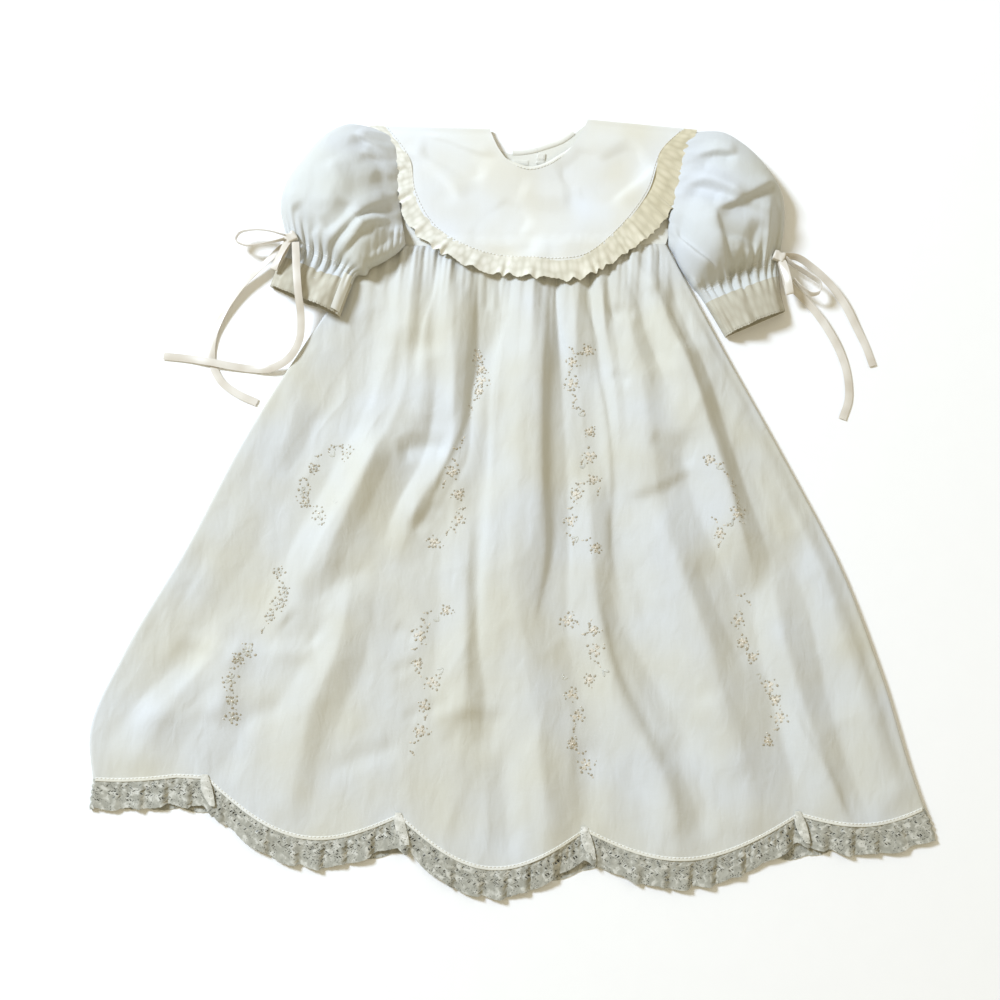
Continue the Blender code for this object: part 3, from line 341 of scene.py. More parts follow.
# thin cotton: soft and nearly matt, so light stays even and the folds read by shade. Its real
# threads are 0.25 mm apart, too fine to show here, and are drawn at threadMm.
batisteLook = {"roughness": 0.75, "sheen": 0.15, "threadMm": 1.1, "weaveBump": 0.2}
finishes = {
    "batiste": wovenCotton("white cotton batiste, woven", {
        **batisteLook, "warm": "#CFCDC0", "cool": "#D1D3D2", "creaseBump": 0.4}),
    # the sleeves' batiste is cooler and darker than the skirt's: painted cool shade for the bluish shade of
    # the puffs
    "sleeve": wovenCotton("white cotton batiste, puffed, painted cool shade", {
        **batisteLook, "warm": "#CBCCC4", "cool": "#CBCED0", "creaseBump": 0.3}),
    "yoke": wovenCotton("white cotton batiste, pressed", {
        **batisteLook, "warm": "#E2E0D3", "cool": "#E5E5DF", "creaseBump": 0.12}),
    # collar: closer cotton, pressed, so it is smoother and whiter. Its warm and cool patches are strong:
    # besides the cloth's uneven tone they are painted light and painted shade, bluish and grey-brown blotches
    "collar": wovenCotton("white cotton percale, pressed", {
        "roughness": 0.7, "sheen": 0.12, "warm": "#DDDACC", "cool": "#E6EAEE",
        "threadMm": 0.9, "weaveBump": 0.15, "creaseBump": 0.08}),
    # gathered lace: matt and warm; the yellow at its end is painted warm shade
    "ecruLace": cottonLace("ecru cotton lace, gathered", {
        "light": "#F4F2E9", "middle": "#EBE9DD", "dark": "#D9D6C7", "paintedWarmShade": "#F0E9D6", "threadMm": 1.0}),
    "cuffLace": cottonLace("ecru cotton lace, close", {
        "light": "#CBC6B5", "middle": "#C4BFAD", "dark": "#BCB5A2", "paintedWarmShade": "#FFFFFF", "threadMm": 1.0}),
    # net: darker and speckled, with painted shade of the ground below in its meshes and pinholes
    "hemLace": netLace("ivory cotton net lace, painted shade below", {
        "net": "#A3A297", "middle": "#B4B3A8", "motif": "#CFCEC5", "through": "#4E4D46"}),
    # the same lace doubled, where it is folded over at a corner of the hem, so less painted shade shows in it
    "hemCorner": netLace("ivory cotton net lace, doubled, less painted shade", {
        "net": "#C9C8BE", "middle": "#D6D5CC", "motif": "#E8E7E0", "through": "#94938A"}),
    "satin": satinRibbon("ivory satin ribbon", {"light": "#E3DED4", "dark": "#D2CABC"}),
    "stitch": threadMaterial("white cotton thread", "#F2F1EC"),
    "peach": threadMaterial("peach embroidery floss", "#DDD5C4", 0.6, 0.3),
    "grey": threadMaterial("pale grey embroidery floss", "#CCCBC0", 0.6, 0.3),
    "taupe": threadMaterial("taupe knotted floss", "#B8AF9B", 0.65, 0.2),
    "pearl": threadMaterial("small glass pearl, glazed", "#EFE6D6", 0.25, 0.0, 0.6),
}
print("materials made")


# how a sheet of cloth is made
# finish of a sheet: its slot in the record, and its wall here in mm
wares = {
    "batiste": ("batiste", dress["cloth"]), "sleeve": ("batiste", dress["cloth"]),
    "yoke": ("yoke_batiste", dress["cloth"]), "collar": ("collar_cotton", dress["cloth"]),
    "ecruLace": ("ecru_lace", dress["lace"]), "cuffLace": ("ecru_lace", dress["lace"]),
    "hemLace": ("net_lace", dress["lace"]), "hemCorner": ("net_lace", dress["lace"]),
    "satin": ("satin_ribbon", dress["ribbon"]),
}


def addPiece(made, name, finish):
    # a finished bmesh becomes an object
    mesh = bpy.data.meshes.new(name)
    made.to_mesh(mesh)
    made.free()
    mesh.materials.append(finish)
    mesh.shade_smooth()
    piece = bpy.data.objects.new(name, mesh)
    bpy.context.scene.collection.objects.link(piece)
    return piece


def wearPiece(piece, node=None):
    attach(piece, "root")
    if node:
        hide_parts(node)


def clothSheet(name, node, place, grid, finish, flip=False, chart=None, holes=None,
               wall=None):
    columns, rows = grid
    made = bmesh.new()
    bmesh.ops.create_grid(made, x_segments=columns, y_segments=rows, size=0.5)
    if holes:
        isHole, bar = holes
        bmesh.ops.scale(made, vec=(columns, rows, 1), verts=made.verts)
        faces = [f for f in made.faces
                 if isHole(f.calc_center_median().x / columns + 0.5, f.calc_center_median().y / rows + 0.5)]
        bmesh.ops.inset_individual(made, faces=faces, thickness=bar, use_even_offset=True)
        bmesh.ops.delete(made, geom=faces, context="FACES")
        bmesh.ops.scale(made, vec=(1 / columns, 1 / rows, 1), verts=made.verts)
    if flip:
        bmesh.ops.reverse_faces(made, faces=made.faces)
    for edge in made.edges:
        edge.smooth = not edge.is_boundary      # keeps the cut edge from shading the face
    wareSlot, wareWall = wares[finish]
    piece = addPiece(made, name, finishes[finish])
    mesh = piece.data
    unit = np.empty(3 * len(mesh.vertices))
    mesh.vertices.foreach_get("co", unit)
    s, t = np.clip(unit[0::3] + 0.5, 0, 1), np.clip(unit[1::3] + 0.5, 0, 1)
    points = place(s, t)
    mesh.vertices.foreach_set("co", (points * mm).ravel())
    corners = np.empty(len(mesh.loops), dtype=int)
    mesh.loops.foreach_get("vertex_index", corners)
    flat = points[:, :2] if chart is None else np.stack((s * chart[0], t * chart[1]), -1)
    mesh.uv_layers.new(name="cloth").data.foreach_set("uv", (flat * mm)[corners].ravel())
    mesh.update()
    solid = piece.modifiers.new("Wall", "SOLIDIFY")
    solid.thickness = (wall or wareWall) * mm
    solid.offset = 0.0
    solid.use_quality_normals = True
    wearPiece(piece, node)
    return piece


# camera, then the free ribbon ends
camera = {
    "elevation": 78, "roll": 4, "distance": 1.180,      # degrees, degrees, metres
    "target": (-0.026, -0.0145, 0.005), "lens": 50, "sensor": 36,
}


def placeCamera():
    lift, roll = math.radians(camera["elevation"]), math.radians(camera["roll"])
    back = Vector((0, -math.cos(lift), math.sin(lift)))
    right = Vector((1, 0, 0))
    up = back.cross(right)
    across = right * math.cos(roll) + up * math.sin(roll)
    above = up * math.cos(roll) - right * math.sin(roll)
    data = bpy.data.cameras.new("camera")
    data.lens, data.sensor_width = camera["lens"], camera["sensor"]
    eye = bpy.data.objects.new("camera", data)
    bpy.context.scene.collection.objects.link(eye)
    turned = Matrix((across, above, back)).transposed().to_4x4()
    turned.translation = Vector(camera["target"]) + back * camera["distance"]
    eye.matrix_world = turned
    bpy.context.scene.camera = eye


placeCamera()

ribbon = {
    "width": 6.5, "steps": 7, "across": 4,
    "cup": 0.35,            # how far the middle of the width stands off its edges
}
# routes of the satin ribbon: x, y, z and the twist of its width in degrees
tailRoutes = {
    "ribbonLeftA": ("ribbon_left_a", (
        (-227, 204, 9.4, 0), (-235, 195, 8.0, 10), (-249, 179, 6.6, 30), (-265, 159, 3.8, 40),
        (-278, 136, 2.4, 30), (-285, 114, 1.4, 15), (-284, 92, 0.7, 0), (-274, 74, 0.7, 0),
        (-257, 63, 0.7, 0), (-241, 57, 0.7, 0))),
    "ribbonLeftB": ("ribbon_left_b", (
        (-220.4, 201.2, 13.8, 0), (-218.4, 189, 17.3, 0), (-215.8, 171, 18.4, 0),
        (-212.5, 152, 18.4, 0), (-209, 133, 13.0, 0), (-209, 113, 9.6, 0), (-217, 96, 8.6, -10),
        (-231, 88, 4.2, -10), (-249, 87, 0.9, 0), (-266, 88, 1.4, 0), (-284, 90, 2.6, 0),
        (-302, 92, 1.0, 0), (-326, 93, 0.7, 0))),
    "ribbonRightA": ("ribbon_right_a", (
        (208.9, 221.5, 11.5, 60), (220, 221.5, 9.6, 50), (235, 214, 6.6, 45), (251, 201, 4.2, 40),
        (265, 183, 2.6, 25), (276, 163, 1.2, 10), (285, 145, 0.7, 0), (291, 129, 0.7, 0))),
    "ribbonRightB": ("ribbon_right_b", (
        (206, 218, 8.1, 0), (209.5, 208, 6.8, 0), (214.5, 198, 5.6, 10), (223, 190, 4.6, 20),
        (235, 179, 3.4, 30), (250, 160, 2.2, 25), (262, 139, 1.2, 10), (269, 117, 0.7, 0),
        (270, 97, 0.7, 0), (265, 79, 0.7, 0))),
}
standingLoops = {
    "bowLeftLoop": ("bow_left_loop", (
        (-230.1, 206.8, 14.2, 84), (-246, 210, 13.8, 76), (-260, 210, 12.8, 76), (-271, 206, 12, 82),
        (-273, 200, 11.8, 90), (-266, 196, 12, 98), (-252, 197, 13.0, 98), (-240, 200, 14.0, 96),
        (-230.1, 203.4, 14.2, 90))),
    "bowRightLoop": ("bow_right_loop", (
        (209.8, 219.2, 12.4, 86), (216, 213.5, 12.2, 84), (223, 209.5, 12, 80), (232, 204, 12, 80),
        (241, 197, 11.8, 86), (241, 190, 11.8, 96), (234, 187, 11.8, 100), (225, 192, 12, 96),
        (217, 199.5, 12.2, 92))),
}
laidLoops = {
    "bowLeftShort": ("bow_left_short", (
        (-227.4, 201, 14.3, 10), (-230.5, 192, 16.0, 26), (-234.5, 181, 16.0, 26), (-237, 174.5, 13.6, 10),
        (-234.5, 181, 11.8, 0), (-230.5, 192, 11.6, 0), (-227.4, 201, 11.3, 0))),
    "bowRightShort": ("bow_right_short", (
        (206.5, 215.6, 13.2, 10), (209.5, 205, 15.8, 26), (212.5, 192, 16.2, 26), (214, 185, 13.6, 10),
        (212.5, 192, 11.4, 0), (209.5, 205, 10.6, 0), (206.5, 215.6, 10.2, 0))),
}
knots = {
    "bowLeftKnot": ("bow_left_knot", (-225, 205.5, 12.8), 35),
    "bowRightKnot": ("bow_right_knot", (204, 220, 11.5), -20),
}
knotForm = {
    "size": (8.5, 7.5, 5.0), "cuts": 7, "softening": 4, "swell": (1.22, 1.2),
    "pinch": 0.16, "pinchRun": 0.2, "groove": 0.07, "grooves": 14, "lean": 0.6,
}


def makeRibbon(name, node, route, fixedWidth=False):
    at = curve([(x, y + 0.001 * index, z, twist) for index, (x, y, z, twist) in enumerate(route)])
    middle, first = route[len(route) // 2], route[0]
    out = np.array((middle[0] - first[0], middle[1] - first[1], 0.0))

    def place(s, t):
        here = at(s)
        ahead = at(np.minimum(s + 0.01, 1))[:, :3] - at(np.maximum(s - 0.01, 0))[:, :3]
        ahead = np.where(fixedWidth, out, ahead)
        flat = np.stack((-ahead[:, 1], ahead[:, 0], np.zeros(len(s))), -1)
        flat /= np.linalg.norm(flat, axis=1)[:, None]
        turn = np.radians(here[:, 3])[:, None]
        upright = np.array((0.0, 0.0, 1.0))
        wide = flat * np.cos(turn) + upright * np.sin(turn)
        proud = upright * np.cos(turn) - flat * np.sin(turn)
        cup = ribbon["cup"] * (1 - (2 * t - 1) ** 2)[:, None]
        return here[:, :3] + wide * ribbon["width"] * (t - 0.5)[:, None] + proud * cup

    line = at(np.linspace(0, 1, 6 * len(route)))[:, :3]
    length = float(np.linalg.norm(np.diff(line, axis=0), axis=1).sum())
    piece = clothSheet(name, node, place, (ribbon["steps"] * (len(route) - 1), ribbon["across"]), "satin",
                       chart=(length, ribbon["width"]))
    return piece, line, length


for name, (node, route) in tailRoutes.items():
    tail, line, length = makeRibbon(name, node, route)
for loops, fixedWidth in ((standingLoops, False), (laidLoops, True)):
    for name, (node, route) in loops.items():
        makeRibbon(name, node, route, fixedWidth)


def makeKnot(name, node, centre, turn):
    # a wrapped knot: a soft pad, pinched at its middle and grooved where the ribbon turns over
    made = bmesh.new()
    bmesh.ops.create_cube(made, size=1.0)
    bmesh.ops.subdivide_edges(made, edges=made.edges[:], cuts=knotForm["cuts"], use_grid_fill=True)
    for _ in range(knotForm["softening"]):
        bmesh.ops.smooth_vert(made, verts=made.verts, factor=0.5, use_axis_x=True, use_axis_y=True,
                              use_axis_z=True)
    wide, high = knotForm["swell"]
    for vert in made.verts:
        x, y, z = vert.co
        pinch = 1 - knotForm["pinch"] * math.exp(-(x / knotForm["pinchRun"]) ** 2)
        groove = 1 + knotForm["groove"] * math.sin(knotForm["grooves"] * (x + knotForm["lean"] * y))
        vert.co = Vector((x * wide, y * pinch * groove * wide, z * pinch * groove * high))
    size = Matrix.Diagonal((*[side * mm for side in knotForm["size"]], 1.0))
    place = Matrix.Translation(Vector(centre) * mm) @ Matrix.Rotation(math.radians(turn), 4, "Z") @ size
    bmesh.ops.transform(made, matrix=place, verts=made.verts)
    made.loops.layers.uv.new("cloth")
    wearPiece(addPiece(made, name, finishes["satin"]), node)


for name, (node, centre, turn) in knots.items():
    makeKnot(name, node, centre, turn)
print("ribbons made")


# skirt: a gathered front and back panel, with the side seam on top at the left
skirt = {
    "topColumns": 330, "foldColumns": 8, "rows": 142,
    "backColumns": 60, "stripColumns": 16, "backRows": 120,
    # share of the length, left x, left y, right x, right y, left seam's distance from the edge
    "edges": (
        (0.00, -152, 206, 105, 227, 26),
        (0.20, -204, 113, 158, 135, 44),
        (0.40, -249, 20, 213, 42, 43),
        (0.60, -286, -74, 264, -50, 31),
        (0.80, -328, -167, 302, -143, 22),
        (0.93, -347, -227, 324, -203, 12),
        (1.00, -340, -260, 337, -235, 4),
    ),
    "hemSag": 37, "hemSagStart": 0.1,
    # scallops: start and end as a share of the width, and depth
    "frontScallops": ((-0.10, 0.135, 9), (0.135, 0.370, 30), (0.370, 0.593, 33), (0.593, 0.848, 26),
                      (0.848, 1.040, 17)),
    "backScallops": ((-0.04, 0.170, 8), (0.170, 0.400, 18), (0.400, 0.630, 20), (0.630, 0.780, 10),
                     (0.780, 0.930, 12), (0.930, 1.080, 6)),
    "scallopStart": 0.78, "backSeamInset": 12, "backHemBlend": 0.03,
    # big folds: y, x of the crest, height, half width to the left and to the right
    "folds": {
        "left": ((199, -117, 5, 11, 12), (131, -115, 9, 14, 17), (67, -116, 12, 15, 19),
                 (5, -141, 12, 15, 22), (-70, -176, 8, 13, 25), (-145, -192, 0, 17, 25)),
        "second": ((202, -83, 5, 11, 11), (134, -78, 9, 14, 12), (71, -72, 10, 12, 9),
                   (16, -73, 8, 12, 9), (-20, -93, 7, 10, 10), (-75, -108, 0, 10, 12)),
        "innerLeft": ((20, -45, 0, 10, 7), (-77, -50, 6, 12, 8), (-135, -46, 7, 13, 8),
                      (-185, -44, 6, 15, 9), (-255, -47, 1, 15, 11)),
        "centre": ((207, -15, 5, 11, 11), (148, -9, 9, 15, 13), (75, -14, 12, 24, 21),
                   (13, -12, 13, 24, 24), (-65, -9, 11, 25, 25), (-132, 0, 8, 27, 22),
                   (-197, 17, 7, 18, 18), (-253, 25, 7, 15, 16), (-310, 30, 3, 15, 16)),
        "flower": ((210, 22, 4, 7, 7), (151, 28, 6, 9, 10), (78, 37, 6, 10, 10),
                   (17, 47, 6, 12, 10), (-61, 55, 6, 12, 10), (-127, 67, 5, 17, 15),
                   (-192, 92, 6, 15, 16), (-246, 127, 7, 13, 15), (-290, 135, 3, 13, 13)),
        "thin": ((212, 48, 5, 6, 6), (143, 54, 6, 6, 6), (84, 63, 0, 6, 6)),
        "right": ((213, 67, 5, 11, 12), (145, 77, 9, 16, 16), (82, 91, 13, 26, 22),
                  (30, 100, 14, 27, 22), (-5, 107, 9, 26, 22), (-39, 118, 13, 22, 22),
                  (-89, 139, 13, 23, 20), (-154, 162, 12, 25, 22), (-210, 185, 9, 23, 20),
                  (-260, 198, 4, 20, 18)),
        "edge": ((215, 89, 4, 9, 7), (156, 107, 8, 14, 9), (103, 131, 12, 19, 9),
                 (60, 146, 12, 21, 9), (16, 162, 11, 22, 9), (-26, 177, 9, 20, 10),
                 (-80, 194, 0, 17, 12)),
        "flank": ((-50, 206, 0, 10, 13), (-117, 217, 8, 12, 15), (-165, 233, 8, 13, 12),
                  (-213, 252, 8, 15, 11), (-262, 274, 3, 16, 10)),
        "side": ((110, 168, 0, 12, 14), (3, 221, 4, 14, 17), (-80, 260, 5, 15, 17),
                 (-153, 289, 6, 18, 15), (-232, 313, 3, 16, 13)),
        "leftLow": ((-120, -236, 0, 13, 15), (-192, -274, 6, 15, 15), (-245, -304, 3, 16, 16)),
        "leftMid": ((-70, -146, 0, 13, 13), (-151, -151, 7, 12, 13), (-201, -168, 6, 15, 13),
                    (-275, -176, 2, 15, 13)),
    },
    "seamTrough": ((170, -135, 0, 12, 17), (90, -165, -2.2, 14, 18), (-1, -198, -2.6, 15, 20),
                   (-116, -252, -2.6, 15, 22), (-240, -325, -1, 13, 18)),
    "seamLap": 1.6, "seamLift": 0.15, "seamRun": 3.0,     # the front is sewn over the back at the side
    "foldBlend": 3.0, "foldEndFade": 25, "foldAtWaist": 0.15, "foldRise": 42, "edgeFade": 18,
    "gatherPitch": 14.5, "gatherHeight": 1.7, "gatherReach": 38, "gatherDrift": 1.1, "gatherDriftRun": 21,
    # fine gathers below the waist seam, and how far their phase, reach and height wander
    "finePitch": 5.6, "fineHeight": 0.9, "fineReach": 20,
    "fineDrift": 2.2, "reachDrift": 0.6, "heightDrift": 0.5,
    # soft crumples, and crisp ones in patches: height, size, distance from the seam where they are whole
    "crumple": 0.5, "crumpleSize": 24, "crumpleRun": 40,
    "facet": 2.3, "facetSize": 42, "facetRun": 70, "patchSize": 95,
    "sewnReach": 2.2,       # the seam holds the cloth flat over this distance
    "laceMargin": 8, "sideMargin": 10,      # detail fades out this far from the collar lace and the sides
    # creases of the front: kind, height, half width, points
    "creases": (
        ("lip", -2.2, 5, ((-92, 206), (-94, 183), (-98, 156), (-102, 139), (-104, 117), (-104, 80))),
        ("lip", 3.4, 6, ((-61, 206), (-60, 186), (-59, 131), (-59, 89), (-60, 55), (-66, 32),
                         (-73, 15), (-85, -20), (-99, -50))),
        ("ridge", -1.3, 3, ((-52, 190), (-50, 170), (-49, 152))),
        ("ridge", -1.3, 3, ((-41, 190), (-39, 170), (-37, 150))),
        ("ridge", -1.2, 3, ((-79, 205), (-78, 190), (-78, 170))),
        ("ridge", -1.2, 3, ((-71, 200), (-70, 185), (-70, 168))),
        ("lip", -3.0, 6, ((-27, 195), (-28, 178), (-29, 158), (-35, 127), (-38, 110), (-39, 77),
                          (-37, 16), (-37, -34), (-37, -76), (-34, -135), (-32, -188))),
        ("lip", 3.0, 5, ((2, 200), (5, 136), (6, 94), (8, 47), (11, 5), (17, -64), (13, -98), (8, -135))),
        ("ridge", 1.3, 3, ((8, 195), (8, 165), (9, 136), (10, 110))),
        ("lip", -2.4, 4, ((12, 196), (12, 170), (17, 142), (22, 123), (25, 93))),
        ("lip", 2.4, 5, ((32, 200), (37, 163), (46, 139), (52, 98), (59, 71), (64, 44), (68, 8),
                         (69, -44), (76, -94))),
        ("ridge", 1.6, 4, ((45, 205), (52, 160), (59, 126), (64, 98), (69, 65), (74, 25))),
        ("ridge", -2.0, 5, ((57, 154), (69, 159), (81, 155))),
        ("ridge", -1.5, 4, ((62, 102), (70, 98), (79, 95))),
        ("lip", -2.4, 5, ((78, -7), (104, 2), (124, 14), (138, 26))),
        ("ridge", -1.8, 6, ((96, 48), (118, 36), (134, 21))),
        ("lip", 2.2, 6, ((87, 206), (99, 181), (110, 163), (122, 139), (134, 106), (148, 74), (157, 51),
                         (168, 16), (176, -19), (185, -44), (198, -76))),
        ("ridge", -2.2, 7, ((63, 205), (69, 193), (84, 165), (90, 142), (103, 112), (116, 73))),
        ("ridge", 2.0, 5, ((74, 218), (85, 198), (99, 178))),
        ("ridge", -1.8, 8, ((107, 185), (116, 156), (129, 126))),
        ("ridge", -4.0, 7, ((-118, 20), (-92, 28), (-71, 25))),
        ("ridge", 1.0, 9, ((-74, 20), (-88, -1), (-102, -42))),
        ("ridge", -1.8, 5, ((-80, -20), (-89, -36), (-99, -50))),
        ("ridge", 3.0, 8, ((-128, 40), (-136, 14), (-150, -26), (-166, -70), (-172, -100))),
        ("ridge", -2.0, 10, ((-132, -80), (-160, -98), (-184, -118))),
        ("ridge", -2.0, 8, ((-200, -126), (-183, -139), (-170, -151))),
        ("ridge", 1.6, 7, ((-210, -158), (-190, -156), (-170, -151))),
        ("ridge", -1.2, 4, ((-107, -129), (-98, -132), (-88, -138))),
        ("ridge", -1.2, 4, ((-104, -168), (-95, -162), (-85, -154))),
        ("ridge", -1.4, 5, ((-74, -194), (-64, -191), (-53, -189))),
        ("ridge", -1.0, 4, ((-92, -204), (-84, -199), (-75, -194))),
        ("lip", -2.6, 6, ((-68, -203), (-38, -196), (-6, -194))),
        ("ridge", -2.0, 9, ((-56, -206), (-37, -217), (-10, -214))),
        ("ridge", 2.0, 9, ((-240, -145), (-263, -176), (-291, -206), (-313, -237))),
        ("ridge", -2.6, 8, ((66, -56), (77, -101), (107, -150), (142, -201), (168, -227))),
        ("ridge", 1.6, 9, ((95, -59), (115, -98), (149, -155), (185, -213))),
        ("ridge", -2.2, 9, ((139, -50), (160, -95), (187, -149))),
        ("lip", 3.0, 6, ((225, -165), (236, -190), (251, -213), (278, -263))),
        ("lip", 1.8, 6, ((249, -55), (256, -76), (282, -146), (313, -236))),
        ("ridge", 1.5, 8, ((8, -210), (27, -253), (40, -297))),
        ("ridge", 1.5, 8, ((101, -202), (121, -246), (136, -288))),
        ("ridge", -2.2, 8, ((123, -200), (144, -245), (159, -285))),
        ("ridge", -1.6, 8, ((-12, -212), (-5, -263), (2, -315))),
        ("ridge", -1.5, 8, ((57, -206), (63, -258), (67, -286))),
        ("ridge", -1.2, 9, ((-153, -188), (-157, -241), (-166, -299))),
        ("ridge", -1.4, 9, ((-220, -190), (-233, -247), (-246, -268))),
        ("ridge", -1.3, 6, ((-152, -251), (-121, -236), (-90, -223))),
        ("ridge", -1.2, 6, ((-228, -221), (-208, -206), (-190, -198))),
        ("ridge", -1.6, 8, ((-185, 58), (-196, 22), (-212, -12))),
        ("ridge", 1.2, 7, ((-128, 120), (-136, 80), (-150, 40))),
        ("ridge", -1.4, 7, ((196, 40), (222, -10), (240, -60))),
        ("ridge", -1.2, 8, ((-262, -60), (-285, -120), (-310, -175))),
        # broad corrections of the folds: lowered, widened or moved aside
        ("soft", -6.0, 17, ((-114, 135), (-115, 90), (-118, 60), (-138, 15))),
        ("soft", 3.0, 12, ((-96, 120), (-94, 75), (-97, 40))),
        ("soft", 3.6, 11, ((3, 165), (1, 100), (4, 40), (8, -30), (8, -75))),
        ("soft", -2.6, 12, ((-29, 165), (-33, 100), (-31, 40), (-30, -20))),
        ("soft", -3.6, 10, ((28, 130), (36, 84), (45, 30), (52, -10))),
        ("soft", 4.0, 13, ((106, 122), (118, 80), (128, 40))),
        ("soft", -4.0, 14, ((-262, -150), (-276, -185), (-290, -215))),
        ("soft", 4.5, 12, ((-232, -145), (-240, -180), (-250, -220))),
        ("lip", 3.6, 6, ((62, -90), (83, -158), (104, -195), (126, -228))),
        ("soft", 2.6, 13, ((150, -165), (170, -200), (188, -235))),
        ("soft", -3.6, 27, ((-158, 40), (-168, -5), (-182, -65), (-224, -120), (-250, -165), (-276, -225))),
        ("soft", 5.0, 30, ((98, 185), (119, 145), (134, 105), (150, 60), (162, 32), (176, -6), (196, -90))),
        ("soft", 4.2, 12, ((-46, 105), (-48, 71), (-52, 46), (-55, 22), (-60, -1), (-67, -19), (-75, -35))),
        ("soft", -2.6, 10, ((-70, 69), (-71, 44), (-75, 22), (-84, -2), (-90, -20), (-99, -36))),
        ("soft", 2.4, 9, ((-66, 14), (-73, -6), (-81, -24), (-89, -40))),
    ),
}
frontScallops, backScallops = skirt["frontScallops"], skirt["backScallops"]
skirtEdges = track(skirt["edges"])
leftEdgeByY = track([(row[2], row[1]) for row in skirt["edges"]])
rightEdgeByY = track([(row[4], row[3]) for row in skirt["edges"]])
foldTracks = [(track(rows), rows[-1][0], rows[0][0]) for rows in skirt["folds"].values()]
troughTrack = track(skirt["seamTrough"])

# seams and edges of the bodice on the page, from left to right or from neck to waist
seams = {
    "neckFront": ((-58, 324), (-49, 305), (-39, 293), (-21, 286), (-4, 292), (9, 303), (21, 321), (29, 340)),
    "neckBack": ((-58, 324), (-50, 309), (-38, 305), (-22, 307), (-6, 313), (8, 320), (19, 330), (29, 340)),
    "collarEdge": ((-153, 320), (-130, 289), (-122, 257), (-105, 229), (-68, 207), (-14, 201), (34, 207),
                   (62, 235), (86, 272), (99, 316), (116, 337.5)),
    "laceEdge": ((-166, 319.5), (-147, 305), (-139, 284), (-136, 258), (-122, 226), (-78, 195), (-22, 185),
                 (34, 188), (72, 219), (101, 254), (116, 300), (128, 337.2)),
    "collarEdgeBack": ((-153, 320), (-124, 284), (-100, 256), (-56, 240), (-11, 236), (30, 242), (62, 262),
                       (92, 296), (116, 337.5)),
    "laceEdgeBack": ((-161, 319.7), (-142, 302), (-127, 276), (-103, 248), (-60, 230), (-11, 225), (34, 231),
                     (69, 252), (101, 290), (125, 337.2)),
    "armholeLeft": ((-170, 319.3), (-153, 310), (-144, 290), (-140, 262), (-135, 236), (-128, 208)),
    "armholeRight": ((132, 337), (124, 325), (121, 304), (114, 277), (109, 252), (108.5, 229)),
    "leftShoulder": ((-58, 324), (-153, 320), (-170, 319.3)),
    "rightShoulder": ((29, 340), (116, 337.5), (132, 337)),
}
neckFront, neckBack, collarEdge, laceEdge, collarEdgeBack, laceEdgeBack, armholeLeft, armholeRight = (
    curve(points) for points in list(seams.values())[:8])
laceDrop = seams["laceEdge"][2:10]      # lower edge of the collar lace over the skirt


def waistY(x):
    (leftX, leftY), (rightX, rightY) = skirt["edges"][0][1:3], skirt["edges"][0][3:5]
    return leftY + (x - leftX) * (rightY - leftY) / (rightX - leftX)


def ridgeAt(row, x):
    crest, height, left, right = columnsOf(row)
    return height * tent(np.abs(x - crest) / np.where(x < crest, left, right))


def fromSkirtEdge(x, y):
    gap = np.minimum(x - leftEdgeByY(y)[..., 0], rightEdgeByY(y)[..., 0] - x)
    return gap - dress["foldRadius"]


def bigFoldZ(x, y):
    # middle height of the skirt front with its big folds, as in the solid
    total = np.zeros_like(x)
    for fold, low, high in foldTracks:
        ends = (smoothStep((y - low + skirt["foldEndFade"]) / skirt["foldEndFade"])
                * smoothStep((high + skirt["foldEndFade"] - y) / skirt["foldEndFade"]))
        total += np.maximum(ridgeAt(fold(y), x) * ends, 0.0) ** skirt["foldBlend"]
    below = waistY(x) - y
    rise = skirt["foldAtWaist"] + (1 - skirt["foldAtWaist"]) * smoothStep(below / skirt["foldRise"])
    height = total ** (1 / skirt["foldBlend"]) * rise + ridgeAt(troughTrack(y), x)
    phase = 2 * np.pi * x / skirt["gatherPitch"] + skirt["gatherDrift"] * np.sin(x / skirt["gatherDriftRun"])
    gather = skirt["gatherHeight"] * np.exp(-np.maximum(below, 0) / skirt["gatherReach"]) * np.sin(phase)
    return skirtTopZ + (height + gather) * smoothStep(fromSkirtEdge(x, y) / skirt["edgeFade"])


def frontZ(x, y):
    # the same with its creases, fine gathers and soft crumples, none of them under the collar
    below = np.maximum(waistY(x) - y, 0)
    beyond, margin = 400, skirt["laceMargin"]       # beyond the lace's ends nothing is covered
    underLace = np.interp(x, [p[0] for p in laceDrop], [p[1] for p in laceDrop], left=beyond, right=beyond)
    free = (smoothStep((underLace + margin - y) / margin)
            * smoothStep(fromSkirtEdge(x, y) / skirt["sideMargin"]))
    uneven = fineNoise(x, y, 13, 3.1, 6)
    phase = 2 * np.pi * x / skirt["finePitch"] + skirt["fineDrift"] * fineNoise(x, y, 19, 7.7, 4)
    reach = skirt["fineReach"] * (1 + skirt["reachDrift"] * uneven)
    height = skirt["fineHeight"] * (1 + skirt["heightDrift"] * uneven)
    fine = height * np.exp(-below / reach) * np.sin(phase)
    soft = (fineNoise(x, y, skirt["crumpleSize"], 1.3, 1.7)
            + 0.35 * fineNoise(x, y, skirt["crumpleSize"] / 2.7, 5.9, 1.5))
    detail = creases(skirt["creases"], x, y) + fine
    detail = detail + skirt["crumple"] * soft * smoothStep(below / skirt["crumpleRun"])
    patches = smoothStep(0.5 + 1.6 * fineNoise(x, y, skirt["patchSize"], 6.6))
    crisp = 0.35 - np.abs(fineNoise(x, y, skirt["facetSize"], 9.1, 1.5)) ** 0.75
    detail = detail + skirt["facet"] * crisp * patches * smoothStep(below / skirt["facetRun"])
    sewn = 1 - np.exp(-below / skirt["sewnReach"])
    return skirtTopZ + (bigFoldZ(x, y) - skirtTopZ + detail * free) * sewn


def scallopDrop(u, scallops):
    drop = np.zeros_like(u)
    for start, end, depth in scallops:
        inside = (u >= start) & (u <= end)
        drop = np.where(inside, depth * np.sin(np.pi * (u - start) / (end - start)), drop)
    return drop


